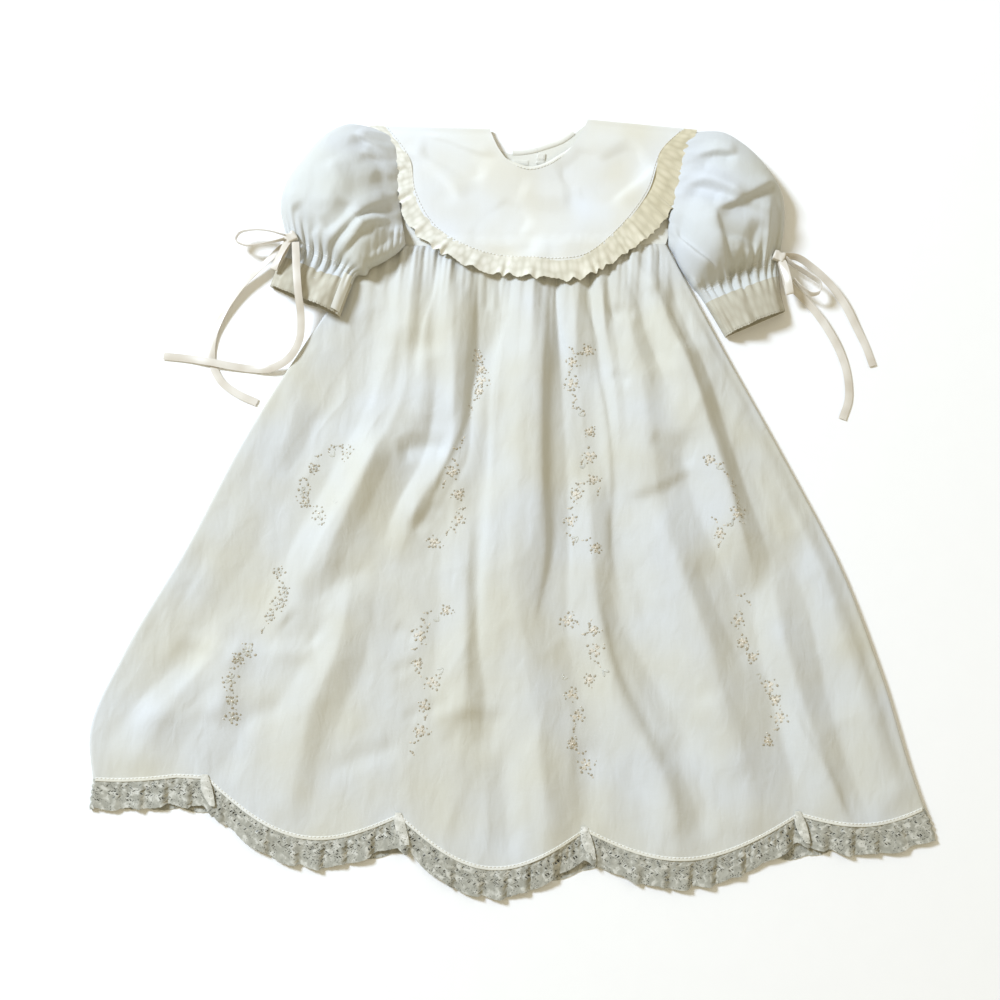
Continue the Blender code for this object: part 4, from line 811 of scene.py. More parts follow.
def skirtPlan(u, v, scallops):
    leftX, leftY, rightX, rightY, _ = columnsOf(skirtEdges(v))
    x, y = leftX + u * (rightX - leftX), leftY + u * (rightY - leftY)
    late = np.maximum(u - skirt["hemSagStart"], 0) / (1 - skirt["hemSagStart"])
    sag = skirt["hemSag"] * np.sin(np.pi * late) * v * v
    hem = scallopDrop(u, scallops) * smoothStep((v - skirt["scallopStart"]) / (1 - skirt["scallopStart"]))
    return x, y - sag - hem


def sideFold(edgeU, inward, angle, v, scallops):
    leftX, _, rightX, _, _ = columnsOf(skirtEdges(v))
    x, y = skirtPlan(edgeU + inward * dress["foldRadius"] / (rightX - leftX), v, scallops)
    turn = np.radians(angle)
    z = lowZ + (skirtTopZ - lowZ) * (1 + np.cos(turn)) / 2
    return stack(x - inward * dress["foldRadius"] * np.sin(turn), y, z)


def skirtFrontPoint(column, v):
    # over the top, round the right fold and a little way under; column runs from 0 to 1 + 1 + 1
    leftX, _, rightX, _, inset = columnsOf(skirtEdges(v))
    width = rightX - leftX
    start = (inset - skirt["seamLap"]) / width
    end = 1 - dress["foldRadius"] / width
    across = start + (end - start) * np.clip(column, 0, 1)
    x, y = skirtPlan(across, v, frontScallops)
    lapped = skirt["seamLift"] * np.exp(-((across - start) * width / skirt["seamRun"]) ** 2)
    top = stack(x, y, frontZ(x, y) + lapped)
    side = sideFold(1, -1, 180 * np.clip(column - 1, 0, 1), v, frontScallops)
    reach = (skirt["backSeamInset"] - dress["seamGap"] / 2) * np.clip(column - 2, 0, 1)
    reach = np.maximum(reach, dress["foldRadius"])
    underX, underY = skirtPlan(1 - reach / width, v, frontScallops)
    under = stack(underX, underY, lowZ)
    column = column[..., None]
    return np.where(column <= 1, top, np.where(column <= 2, side, under))


def skirtBackPoint(column, v):
    # flat underneath, round the left fold, and up to the side seam; column runs from 0 to 3
    leftX, _, rightX, _, inset = columnsOf(skirtEdges(v))
    width = rightX - leftX
    inner = dress["foldRadius"] / width
    start = 1 - (skirt["backSeamInset"] + dress["seamGap"] / 2) / width
    u = start + (inner - start) * np.clip(column, 0, 1)
    x, y = skirtPlan(u, v, backScallops)
    _, frontY = skirtPlan(u, v, frontScallops)
    blend = smoothStep((start - u) / skirt["backHemBlend"])
    flat = stack(x, frontY + (y - frontY) * blend, lowZ)
    side = sideFold(0, 1, 180 * (1 - np.clip(column - 1, 0, 1)), v, frontScallops)
    end = (inset - dress["sideSeamGap"] / 2) / width
    topX, topY = skirtPlan(inner + (end - inner) * np.clip(column - 2, 0, 1), v, frontScallops)
    top = stack(topX, topY, frontZ(topX, topY))
    column = column[..., None]
    return np.where(column <= 1, flat, np.where(column <= 2, side, top))


def spread(s, counts):
    # column 0 to len(counts) of a sheet whose grid gives each stretch this many columns
    edges = np.concatenate(([0.0], np.cumsum(counts))) / sum(counts)
    return np.interp(s, edges, np.arange(len(counts) + 1))


skirtLength = skirt["edges"][0][2] - skirt["edges"][-1][2]
seamShare = dress["seamGap"] / 2 / skirtLength


def skirtSheet(name, node, point, counts, rows, **sheet):
    def place(s, t):
        return point(spread(s, counts), seamShare + (1 - t) * (1 - seamShare))

    clothSheet(name, node, place, (sum(counts), rows), "batiste")


skirtSheet("skirtFront", "skirt_front", skirtFrontPoint, (skirt["topColumns"], skirt["foldColumns"], 2),
           skirt["rows"], flat=(0.80, 0.52), held="gathered", rests_on=["skirt_back"], area=0.32)
skirtSheet("skirtBack", "skirt_back", skirtBackPoint,
           (skirt["backColumns"], skirt["foldColumns"], skirt["stripColumns"]), skirt["backRows"],
           flat=(0.80, 0.50), held="laid", area=0.30)
print("skirt made")


# hem lace: gathered net edging below the scallops
hemLace = {
    "width": 24, "gap": -1.2, "tuck": 0.6,    # the lace starts under the skirt's edge
    "flare": 10, "flareStart": 270, "flareRun": 65,
    "pleat": 25, "pleatTurn": 0.88,         # a pleat rises over this share of it, then drops
    "pleatHeight": 1.5, "pleatSwing": 1.0, "drift": 0.35, "driftRun": 23, "rise": 3.4,
    # at a cusp the lace laps over itself: places, and height and run before it and past it
    "cusps": (-248.6, -89.5, 61.5, 234.1), "cuspBefore": (1.5, 8), "cuspPast": (0.9, 5),
    "cuspLean": 9, "cornerWidth": 9, "cornerLift": 1.9,
    "calmEnd": 332,
    "ruffle": 6.2, "ruffleHeight": 0.55,    # small gathers at the sewn edge
    "picot": 4.4, "picotDepth": 0.5,        # small scallops of the free edge
    "bigPicot": 31, "bigPicotDepth": 2.4,
    "cell": 2.2, "bar": 0.25,               # mesh of the net, drawn twice its real size, and its thread
    "repeat": 26.4, "lean": 0.5,            # length of one repeat of the pattern, slant of its meshes
    # two close flowers in a repeat: their places; half width of a flower and of the open ring in cells
    "flowers": ((0.27, 0.44), (0.74, 0.6)), "flower": 1.3, "ring": 3.2,
    "ringHoles": 0.28, "otherHoles": 0.03, "solidEdge": 0.16,
    "tape": 3.0, "tapeLift": 0.32, "tapeRoll": 0.25,          # white heading sewn over the join
}


def arcTable(base):
    # column of a hem against the distance along it
    columns = np.linspace(0, 3, 901)
    return distanceAlong(base(columns)), columns


def netCell(length):
    # open cells of the net: clusters round two close flowers in each repeat, none near the edges
    width, repeat, cell, edge = (hemLace[key] for key in ("width", "repeat", "cell", "solidEdge"))

    def isHole(s, t):
        along = (s * length) % repeat
        if t < edge or t > 0.86:
            return False
        share = hemLace["otherHoles"]
        for flowerX, flowerY in hemLace["flowers"]:
            far = math.hypot(along - flowerX * repeat, (t - flowerY) * width) / cell
            if far < hemLace["flower"]:
                return False
            if far < hemLace["ring"]:
                share = hemLace["ringHoles"]
        column, row = int(along / cell), int(t * width / cell)
        return (math.sin(column * 12.9898 + row * 78.233) * 43758.5453) % 1 < share     # scatters evenly
    return isHole


def makeHemLace(name, node, base):
    distance, columnAt = arcTable(base)
    length = distance[-1]
    edgeHalf = dress["lace"] / 2
    (risen, riseRun), (sunk, sinkRun) = hemLace["cuspBefore"], hemLace["cuspPast"]

    def place(s, t):
        share = 1 - t
        along = s * length
        x, y, z = columnsOf(base(np.interp(along, distance, columnAt)))
        raised = np.minimum((z - lowZ) / (skirtTopZ - lowZ), 1)
        calm = smoothStep((hemLace["calmEnd"] - np.abs(x)) / hemLace["pleat"]) * raised
        # pleats rise slowly and drop at a sharp edge
        part = (x / hemLace["pleat"] + hemLace["drift"] * np.sin(x / hemLace["driftRun"])) % 1
        turn = hemLace["pleatTurn"]
        pleat = np.where(part < turn, part / turn, (1 - part) / (1 - turn)) * 2 - 1
        for cusp in hemLace["cusps"]:
            past = x - cusp - hemLace["cuspLean"] * share
            pleat = pleat + np.where(past < 0, risen * np.exp(past / riseRun),
                                     -sunk * np.exp(-past / sinkRun)) * raised
        pleat = calm * pleat
        ruffle = calm * np.sin(2 * np.pi * along / hemLace["ruffle"] + 2 * np.sin(along / 31)) * (1 - share)
        small = np.abs(np.sin(np.pi * along / hemLace["picot"]))
        big = np.abs(np.sin(np.pi * along / hemLace["bigPicot"] + 0.4 * np.sin(along / 90)))
        edge = (small * hemLace["picotDepth"]
                + big * hemLace["bigPicotDepth"]) * smoothStep((share - 0.6) / 0.4)
        edgeZ = edgeHalf + hemLace["rise"] * raised + hemLace["pleatHeight"] * pleat
        flare = hemLace["flare"] * smoothStep((x - hemLace["flareStart"]) / hemLace["flareRun"])
        drop = hemLace["gap"] + (hemLace["width"] - 1 + hemLace["pleatSwing"] * pleat) * share + edge
        height = z + (edgeZ - z) * share + hemLace["ruffleHeight"] * ruffle * np.sin(np.pi * share) ** 0.5
        height = height - hemLace["tuck"] * (1 - smoothStep(share / 0.1)) * raised
        lean = hemLace["lean"] * hemLace["cell"] * np.sin(np.pi * share * hemLace["width"] / hemLace["cell"])
        return stack(x + flare * share + lean * raised, y - drop, np.maximum(height, edgeHalf))

    grid = int(length / hemLace["cell"]), int(hemLace["width"] / hemLace["cell"])
    clothSheet(name, node, place, grid, "hemLace",
               chart=(length, hemLace["width"]), holes=(netCell(length), hemLace["bar"]))


def frontHem(column):
    return skirtFrontPoint(column, np.ones_like(column))


def backHem(column):
    return skirtBackPoint(column, np.ones_like(column))


def hemTapePlace(s, t):
    # white heading tape on the front of the join, rolled a little over its width
    x, y, z = columnsOf(frontHem(s))
    lift = hemLace["tapeLift"] + hemLace["tapeRoll"] * np.sin(np.pi * t)
    return stack(x, y + 1.4 - hemLace["tape"] * (1 - t), z + lift)


makeHemLace("hemLaceFront", "hem_lace_front", frontHem)
clothSheet("hemTape", None, hemTapePlace, (360, 4), "yoke",
           wall=0.4)
makeHemLace("hemLaceBack", "hem_lace_back", backHem)


def makeCorner(name, cusp):
    # lace folded over at a cusp: a narrow leaf that leans from the corner to the free edge
    shares = np.linspace(0, 1, 400)
    x, y, z = columnsOf(frontHem(np.array(np.interp(cusp, frontHem(shares)[:, 0], shares))))

    def place(s, t):
        share = 1 - t
        wide = hemLace["cornerWidth"] * np.sin(np.pi * np.clip(0.12 + 0.8 * share, 0, 1)) ** 0.7
        rise = z + (dress["lace"] / 2 + hemLace["rise"] - z) * share
        lift = hemLace["cornerLift"] + 0.5 * np.sin(np.pi * s) - 1.0 * (1 - share) ** 3
        return stack(x + hemLace["cuspLean"] * share + wide * (s - 0.75),
                     y + 2.2 - (hemLace["width"] + 1) * share, rise + lift)

    clothSheet(name, None, place, (12, 24), "hemCorner")


for index, cusp in enumerate(hemLace["cusps"]):
    makeCorner(f"hemCorner{index + 1}", cusp)
print("hem lace made")


# bodice: yokes, collar, neck
bodice = {
    "loft": 1.5, "waistLoft": 0.5, "waistRun": 25, "pressedRun": 26,
    "armholeGap": -0.5,     # the yoke's edge is tucked into the armhole
    "shoulderInset": 1.3, "step": 0.01, "corner": 0.07, "cornerPower": 6,
    "waistWidth": 232, "rowPower": 1.5, "armholeReach": 4, "neckShares": (0.35, 0.70),
    "grid": (72, 30), "backGrid": (36, 30),
    # patches inside the neck: middle x, y, width, length, and how far the upper part climbs
    "placket": (-29, 296.5, 15, 5, 0), "tab": (-11, 301.3, 8, 10, 0.7),
}
collar = {
    "columns": 150, "turns": 10, "rows": 34, "backGrid": (40, 10),
    "coverReach": 6, "loft": 0.5, "shoulderRun": 9, "wave": 3.6, "waveFade": 30,
    "pressedRun": 12, "bumps": 0.25, "bumpSize": 34,        # pressed flat near the shoulder folds
    # waves: share of the wave height, run along x, run along y, phase
    "waves": ((0.3, 19, 31, 0.0), (0.2, 33, -17, 1.0)),
    "laceGap": 0.035, "laceColumns": 380, "laceTurns": 12, "laceRows": 8, "laceLength": 760,
    "laceWaves": 27, "laceWave": 2.75, "laceFade": 0.03, "lacePicot": 6.5,
    "laceSteep": (0.6, 0.12), "laceBroad": (0.62, 0.15),        # start and run, as shares of its length
    "laceLift": 0.3, "laceTuck": 0.36,       # the lace starts under the collar's edge
    "creases": (
        ("lip", -2.6, 4, ((-119, 314), (-98, 309), (-75, 302), (-49, 294))),
        ("ridge", -2.0, 6, ((-121, 301), (-101, 294), (-78, 284), (-57, 276))),
        ("lip", -2.5, 5, ((-135, 298), (-114, 286), (-94, 270), (-78, 251))),
        ("ridge", -2.6, 10, ((-52, 221), (-36, 236), (-24, 252))),
        ("ridge", -2.8, 9, ((41, 256), (47, 282), (62, 301), (81, 316))),
        ("lip", 2.8, 6, ((53, 263), (79, 285), (93, 302))),
        ("ridge", -1.6, 8, ((5, 280), (25, 292), (35, 312))),
        ("ridge", -1.8, 7, ((-71, 224), (-42, 216), (-2, 215))),
        ("ridge", 1.2, 8, ((-30, 268), (-8, 262), (20, 264))),
    ),
}
shoulderRadius = (yokeSeamZ + layer - lowZ) / 2


def nearShoulder(x, y):
    return np.minimum(*[distanceTo(seams[line], x, y)[0] for line in ("leftShoulder", "rightShoulder")])


def yokeZ(x, y):
    inside = np.min([distanceTo(seams[line], x, y)[0] for line in (
        "leftShoulder", "rightShoulder", "armholeLeft", "armholeRight")], axis=0)
    toWaist = smoothStep((waistY(x) + bodice["waistRun"] - y) / bodice["waistRun"])
    loft = bodice["loft"] + bodice["waistLoft"] * toWaist
    return yokeSeamZ + loft * smoothStep(inside / bodice["pressedRun"])


def bodiceTop(x, y):
    return np.where(y < waistY(x), bigFoldZ(x, y), yokeZ(x, y))


def coverZ(x, y):
    # lowest height that clears the bodice all round, without a step at the shoulder folds
    reach = collar["coverReach"]
    spots = [(dx, dy) for dx in (-reach, -reach / 2, 0, reach / 2, reach)
             for dy in (-reach / 2, 0, reach / 2)]
    # the highest spots around, then their mean, which smooths the steps and stays above the bodice
    highest = [np.max([bodiceTop(x + dx + 0.8 * moveX, y + dy + moveY) for dx, dy in spots], axis=0)
               for moveX, moveY in spots[::2]]
    top = np.mean(highest, axis=0) + layer
    low = yokeSeamZ + layer
    return low + (top + collar["loft"] - low) * smoothStep(nearShoulder(x, y) / collar["shoulderRun"])


def collarRelief(x, y):
    waves = 0.5
    for share, runX, runY, phase in collar["waves"]:
        waves = waves + share * np.sin(x / runX + y / runY + phase)
    return collar["wave"] * waves * smoothStep(nearShoulder(x, y) / collar["waveFade"])


def bibPlan(a, b):
    inner = neckFront(a) * (1 - b)[..., None] + collarEdge(a) * b[..., None]
    outer = collarEdge(a) * (2 - b)[..., None] + laceEdge(a) * (b - 1)[..., None]
    return columnsOf(np.where((b <= 1)[..., None], inner, outer))


def bibPoint(column, b, lift):
    # column: 0 to 1 round the left shoulder fold, 1 to 2 across the front, 2 to 3 round the right one
    a = np.clip(column - 1, 0, 1)
    x, y = bibPlan(a, b)
    front = stack(x, y, coverZ(x, y) + lift(a, b, x, y))
    angle = np.where(column < 1, 180 * (1 - column), 180 * (column - 2))
    turn = np.radians(np.clip(angle, 0, 180))
    fold = stack(x, y + shoulderRadius * np.sin(turn), lowZ + shoulderRadius * (1 + np.cos(turn)))
    return np.where(((column >= 1) & (column <= 2))[..., None], front, fold)


def collarLift(a, b, x, y):
    pressed = smoothStep(nearShoulder(x, y) / collar["pressedRun"])
    bumps = collar["bumps"] * fineNoise(x, y, collar["bumpSize"], 2.2)
    total = collarRelief(x, y) + (creases(collar["creases"], x, y) + bumps) * pressed
    return np.where(total > 0, total, 0.1 * total)      # stays clear of the yoke


collarCounts = (collar["turns"], collar["columns"], collar["turns"])
clothSheet("collarFront", "collar_front", lambda s, t: bibPoint(spread(s, collarCounts), 1 - t, collarLift),
           (sum(collarCounts), collar["rows"]), "collar")


def laceSteepness(a):
    start, run = collar["laceSteep"]
    return smoothStep((a - start) / run)


def lacePhase(a):
    # uneven gathers, closer together at the right
    run = a + 0.6 * np.maximum(0, a - collar["laceBroad"][0])
    return 2 * np.pi * collar["laceWaves"] * run + 1.7 * np.sin(a * 41) + 1.1 * np.sin(a * 97 + 1)


def laceLift(a, b, x, y):
    share = b - 1
    phase = lacePhase(a)
    tall = 0.75 + 0.45 * np.sin(a * 63 + 0.6) * np.sin(a * 25)
    turn = (phase / (2 * np.pi)) % 1
    steep = laceSteepness(a)
    even, crisp = 0.5 - 0.5 * np.cos(phase), turn - smoothStep((turn - 0.8) / 0.2)
    wave = (even * (1 - steep) + crisp * steep) * tall
    fade = smoothStep(np.minimum(a, 1 - a) / collar["laceFade"])
    curl = 0.3 * np.sin(phase * 1.6 + 3 * np.sin(a * 23)) * smoothStep((share - 0.5) / 0.5)
    tucked = collar["laceTuck"] * (1 - smoothStep((share + 0.06) / 0.22))
    return (collarRelief(x, y) * (1 - 0.5 * share) + collar["laceLift"] - tucked
            + (collar["laceWave"] * wave + curl) * np.maximum(share, 0) * fade)


laceCounts = (collar["laceTurns"], collar["laceColumns"] - 2 * collar["laceTurns"], collar["laceTurns"])


def lacePlace(s, t):
    share = 1 - t
    column = spread(s, laceCounts)
    a = np.clip(column - 1, 0, 1)
    picot = 0.035 * np.abs(np.sin(np.pi * s * collar["laceLength"] / collar["lacePicot"]))
    picot = picot + 0.09 * np.sin(lacePhase(a) + 1.9) * (1 - 0.6 * laceSteepness(a))
    calm = smoothStep(np.minimum(a, 1 - a) / 0.02)
    # broader at the right, where it lies on the sleeve
    start, run = collar["laceBroad"]
    wide = 0.16 * smoothStep((a - start) / run) * smoothStep((0.99 - a) / 0.1)
    b = 0.97 + 1.03 * share * (1 + (picot * calm + wide) * smoothStep((share - 0.3) / 0.7))
    return bibPoint(column, b, laceLift)


clothSheet("collarLaceFront", "collar_lace_front", lacePlace, (collar["laceColumns"], collar["laceRows"]),
           "ecruLace",
           chart=(collar["laceLength"], 18))


def seamDrop(s):
    return 2 * dress["seamGap"] * np.maximum(0.0, 1 - 4 * s)


for side, first, last, laceLong in (("left", 0.0, 0.498, 0.165), ("right", 1.0, 0.502, 0.215)):
    def backCollarPlace(s, t, first=first, last=last):
        a = first + (last - first) * s
        x, y = columnsOf(neckBack(a) * t[:, None] + collarEdgeBack(a) * (1 - t)[:, None])
        return stack(x, y - seamDrop(s), lowZ)

    def backLacePlace(s, t, first=first, last=last):
        a = first + (last - first) * s
        share = (collar["laceGap"] + (1 - collar["laceGap"]) * (1 - t))[:, None]
        x, y = columnsOf(collarEdgeBack(a) * (1 - share) + laceEdgeBack(a) * share)
        return stack(x, y - seamDrop(s), dress["lace"] / 2)

    tail, flip = side.capitalize(), side == "right"
    clothSheet(f"collarBack{tail}", f"collar_back_{side}", backCollarPlace, collar["backGrid"], "collar",
               flip)
    clothSheet(f"collarLaceBack{tail}", f"collar_lace_back_{side}", backLacePlace, (110, 4), "ecruLace",
               flip, chart=(230, 11))


def insideCurves(top, bottom, left, right, s, t):
    s2, t2 = s[..., None], t[..., None]
    zero, one = np.zeros_like(s), np.ones_like(s)
    straight = (1 - t2) * top(s) + t2 * bottom(s)
    leftBow = left(t) - (1 - t2) * top(zero) - t2 * bottom(zero)
    rightBow = right(t) - (1 - t2) * top(one) - t2 * bottom(one)
    reach = bodice["armholeReach"]
    return straight + leftBow * (1 - s2) ** reach + rightBow * s2 ** reach


def yokeWaist(s):
    x = seams["armholeLeft"][-1][0] + bodice["armholeGap"] + s * bodice["waistWidth"]
    return np.stack((x, waistY(x) - 0.5), -1)


def yokeSide(armhole, inward, corner):
    def at(t):
        share = bodice["corner"] + (1 - bodice["corner"]) * t
        run = armhole(np.minimum(share + bodice["step"], 1)) - armhole(share - bodice["step"])
        off = np.stack((-run[..., 1], run[..., 0]), -1) * inward * bodice["armholeGap"]
        off = off / np.linalg.norm(run, axis=-1)[..., None]
        nearWaist = (t ** bodice["cornerPower"])[..., None]
        return (armhole(share) + off) * (1 - nearWaist) + corner * nearWaist
    return at


yokeLeft = yokeSide(armholeLeft, 1, yokeWaist(np.array(0.0)))
yokeRight = yokeSide(armholeRight, -1, yokeWaist(np.array(1.0)))
neckStart, neckEnd = bodice["neckShares"]


def yokeTop(neck):
    drop = np.array((0.0, bodice["shoulderInset"]))

    def at(s):
        zero, one = np.zeros_like(s), np.ones_like(s)
        pastNeck = ((s - neckEnd) / (1 - neckEnd))[..., None]
        onLeft = yokeLeft(zero) + (neck(zero) - drop - yokeLeft(zero)) * (s / neckStart)[..., None]
        onRight = neck(one) - drop + (yokeRight(zero) - neck(one) + drop) * pastNeck
        onNeck = neck((s - neckStart) / (neckEnd - neckStart)) - drop
        return np.where((s < neckStart)[..., None], onLeft,
                        np.where((s > neckEnd)[..., None], onRight, onNeck))
    return at


def onYoke(neck, s, t):
    return columnsOf(insideCurves(yokeTop(neck), yokeWaist, yokeLeft, yokeRight, s,
                                  (1 - t) ** bodice["rowPower"]))


def yokeFrontPlace(s, t):
    x, y = onYoke(neckFront, s, t)
    return stack(x, y, yokeZ(x, y))


clothSheet("yokeFront", "yoke_front", yokeFrontPlace, bodice["grid"], "yoke")
centreShare = neckStart + (neckEnd - neckStart) * 0.5
halfGap = dress["seamGap"] / 2 / bodice["waistWidth"]
for side, first, last in (("left", 0.0, centreShare - halfGap), ("right", centreShare + halfGap, 1.0)):
    def yokeBackPlace(s, t, first=first, last=last):
        return stack(*onYoke(neckBack, first + (last - first) * s, t), yokeBackZ)

    clothSheet(f"yokeBack{side.capitalize()}", f"yoke_back_{side}", yokeBackPlace, bodice["backGrid"], "yoke")

neckBand = {
    "width": 4.2, "roll": 1.0, "span": (0.06, 0.94), "gap": -2.6, "lowered": 0.75,
    "hide": (0.12, 0.22),       # share from its middle at which it starts to turn in, and the run of that
    "hideDepth": 4.0, "hideDrop": 1.2,
    # back: span, flat length in metres and the area that shows in square metres
    "back": {"left": (0.29, 0.4995, 0.030, 0.00013), "right": (0.5005, 0.85, 0.045, 0.0002)},
}


def neckBandFrontPlace(s, t):
    # at both sides the band turns in under the collar, so only its middle shows
    first, last = neckBand["span"]
    a = first + (last - first) * s
    here = neckFront(a)
    ahead = neckFront(a + 0.01) - neckFront(a - 0.01)
    inward = np.stack((-ahead[:, 1], ahead[:, 0]), -1) / np.linalg.norm(ahead, axis=1)[:, None]
    start, run = neckBand["hide"]
    hidden = smoothStep((np.abs(a - 0.50) - start) / run)
    out = neckBand["width"] * (t - 0.12) - neckBand["hideDepth"] * hidden
    x, y = columnsOf(here + inward * out[:, None])
    hx, hy = columnsOf(here)
    z = coverZ(hx, hy) + collarRelief(hx, hy) - neckBand["lowered"] - neckBand["hideDrop"] * hidden
    return stack(x, y, z + neckBand["roll"] * np.sin(np.pi * t) - 0.5 * t)


# a binding is folded double: its area here is of what shows
clothSheet("neckBandFront", "neck_band_front", neckBandFrontPlace, (66, 6), "yoke")
for side, (first, last, length, area) in neckBand["back"].items():
    def neckBandBackPlace(s, t, first=first, last=last):
        a = first + (last - first) * s
        ahead = neckBack(a + 0.01) - neckBack(a - 0.01)
        inward = np.stack((ahead[:, 1], -ahead[:, 0]), -1) / np.linalg.norm(ahead, axis=1)[:, None]
        x, y = columnsOf(neckBack(a) + inward * (neckBand["gap"] + neckBand["width"] * (1 - t))[:, None])
        return stack(x, y, yokeBackZ + 0.35 + 0.5 * neckBand["roll"] * np.sin(np.pi * t) ** 0.6)

    clothSheet(f"neckBandBack{side.capitalize()}", f"neck_band_back_{side}", neckBandBackPlace, (40, 6),
               "yoke")


def flatPatch(name, node, x, y, width, length, climb):
    # a small double patch, low at its edges; its upper part climbs on to the band
    def place(s, t):
        edge = np.minimum(np.minimum(s, 1 - s) * width, np.minimum(t, 1 - t) * length)
        z = yokeBackZ + 0.3 + 0.35 * smoothStep(edge / 1.6) + climb * smoothStep((t - 0.25) / 0.3)
        return stack(x + width * (s - 0.5), y + length * (t - 0.5), z)

    clothSheet(name, node, place, (20, 20), "yoke")


flatPatch("backPlacket", "back_placket", *bodice["placket"])
flatPatch("backTab", "back_tab", *bodice["tab"])
print("bodice made")


# sleeves: puffed tubes of an upper and an under half, with a lace frill
sleeves = {
    "grid": (110, 100), "underGrid": (30, 30), "laceGrid": (150, 12), "rowPower": 1.3,
    "elastic": 0.86, "roundness": 0.75, "clearance": 0.6, "ontoSkirt": 24, "climbRun": 18,
    "feel": (-5, 0, 5, 10), "armholeFade": 0.5,
    "underLace": 8,         # how far the sleeve head runs in under the collar lace
    "headGathers": 9, "cuffGathers": 13, "lacePleats": 7,
    "headHeight": 1.3, "headRun": 0.16, "headStart": 0.05, "cuffHeight": 1.9, "cuffRun": 0.11,
    "fineHeadGathers": 21, "fineHeadHeight": 0.35, "fineHeadRun": 0.09,
    "fineGathers": 31, "fineHeight": 0.7, "fineRun": 0.07,
    "bumps": 0.3, "bumpSize": 21, "sewnRun": 0.04, "swellRun": 0.12,    # dents start past the armhole seam
    "laceStart": 0.945, "underLaceStart": 1.004, "pleatHeight": 1.35, "pleatSwing": 0.8,
    # rows: share of the length, outer fold x, y, inner fold x, y, height of the puff
    "left": (
        (0.00, -170, 319.3, -128, 208, 6.2), (0.10, -184, 321, -130, 201, 15),
        (0.25, -203, 310, -136, 195, 25), (0.45, -222, 283, -146, 188, 31),
        (0.62, -236, 256, -154, 183, 28), (0.75, -238, 235, -157, 177, 20),
        (0.86, -231, 208, -165, 176, 8), (1.00, -236, 181, -170, 160, 11),
        (1.20, -240, 163, -176, 137, 12),
    ),
    "right": (
        (0.00, 132, 337, 110.5, 228.5, 6.2), (0.10, 148, 339, 113, 220, 15),
        (0.25, 169, 328, 116, 212, 26), (0.45, 194, 302, 121, 203, 32),
        (0.62, 207, 277, 127, 195, 30), (0.75, 209, 250, 131, 189, 20),
        (0.86, 206, 221, 136, 184, 8), (1.00, 207, 196, 147, 168, 11),
        (1.20, 212, 173, 161, 146, 12),
    ),
    "leftCreases": (
        ("lip", -5.5, 4, ((-180, 306), (-161, 298), (-135, 287))),
        ("lip", -3.5, 4, ((-172, 286), (-155, 283), (-138, 275))),
        ("lip", -2.6, 4, ((-156, 273), (-142, 267), (-130, 257))),
        ("soft", 2.0, 14, ((-150, 262), (-176, 268), (-196, 260))),
        ("lip", 6.2, 4, ((-129, 250), (-155, 233), (-181, 207), (-198, 188))),
        ("ridge", 2.6, 4, ((-146, 231), (-166, 212), (-184, 190))),
        ("lip", 5.4, 4, ((-129, 231), (-154, 216), (-174, 194), (-192, 180))),
        ("soft", -4.0, 6, ((-223, 235), (-216, 222), (-201, 207))),
        ("ridge", -3.2, 6, ((-173, 237), (-182, 219), (-197, 209))),
        ("lip", -3.0, 4, ((-233, 250), (-228, 226), (-217, 198))),
        ("ridge", -3.0, 5, ((-124, 226), (-141, 205), (-158, 186))),
        ("ridge", 2.0, 9, ((-196, 278), (-189, 250), (-196, 224))),
    ),
    "rightCreases": (
        ("lip", -8.0, 4, ((114, 305), (140, 311), (164, 308))),
        ("lip", -8.5, 4, ((108, 281), (132, 281), (150, 272), (168, 261))),
        ("ridge", -2.0, 6, ((112, 272), (130, 270), (150, 262))),
        ("lip", 6.0, 4, ((200, 288), (182, 273), (165, 262), (155, 257), (143, 252))),
        ("lip", 5.0, 5, ((144, 256), (148, 239), (154, 221), (160, 202))),
        ("soft", -5.0, 15, ((174, 264), (168, 245), (162, 224))),
        ("ridge", 2.5, 5, ((192, 270), (193, 234), (197, 207))),
        ("ridge", -2.0, 4, ((198, 280), (200, 239), (200, 212))),
        ("ridge", 4.0, 7, ((156, 214), (169, 219), (184, 213))),
        ("ridge", -3.5, 4, ((157, 200), (170, 208), (184, 206))),
        ("lip", 6.5, 4, ((102, 262), (112, 237), (128, 216), (156, 197))),
        ("lip", 6.0, 4, ((104, 238), (117, 209), (131, 193), (149, 180))),
        ("ridge", -2.2, 5, ((176, 216), (179, 233), (186, 247))),
        ("ridge", 2.0, 5, ((116, 327), (126, 331), (134, 330))),
        ("ridge", -1.8, 4, ((114, 297), (126, 296), (140, 298))),
    ),
}


def sleeveFloorLeft(x, y):
    # the under half lies partly on the skirt
    inside = np.minimum(x - leftEdgeByY(y)[..., 0], waistY(x) - y)
    lifted = smoothStep((inside + sleeves["ontoSkirt"]) / sleeves["climbRun"])
    top = np.max([bigFoldZ(x + dx, np.minimum(y, waistY(x))) for dx in sleeves["feel"]], axis=0)
    return lowZ + (top + layer + sleeves["clearance"] - lowZ) * lifted


def sleeveFloorRight(x, y):
    return np.full_like(x, lowZ)


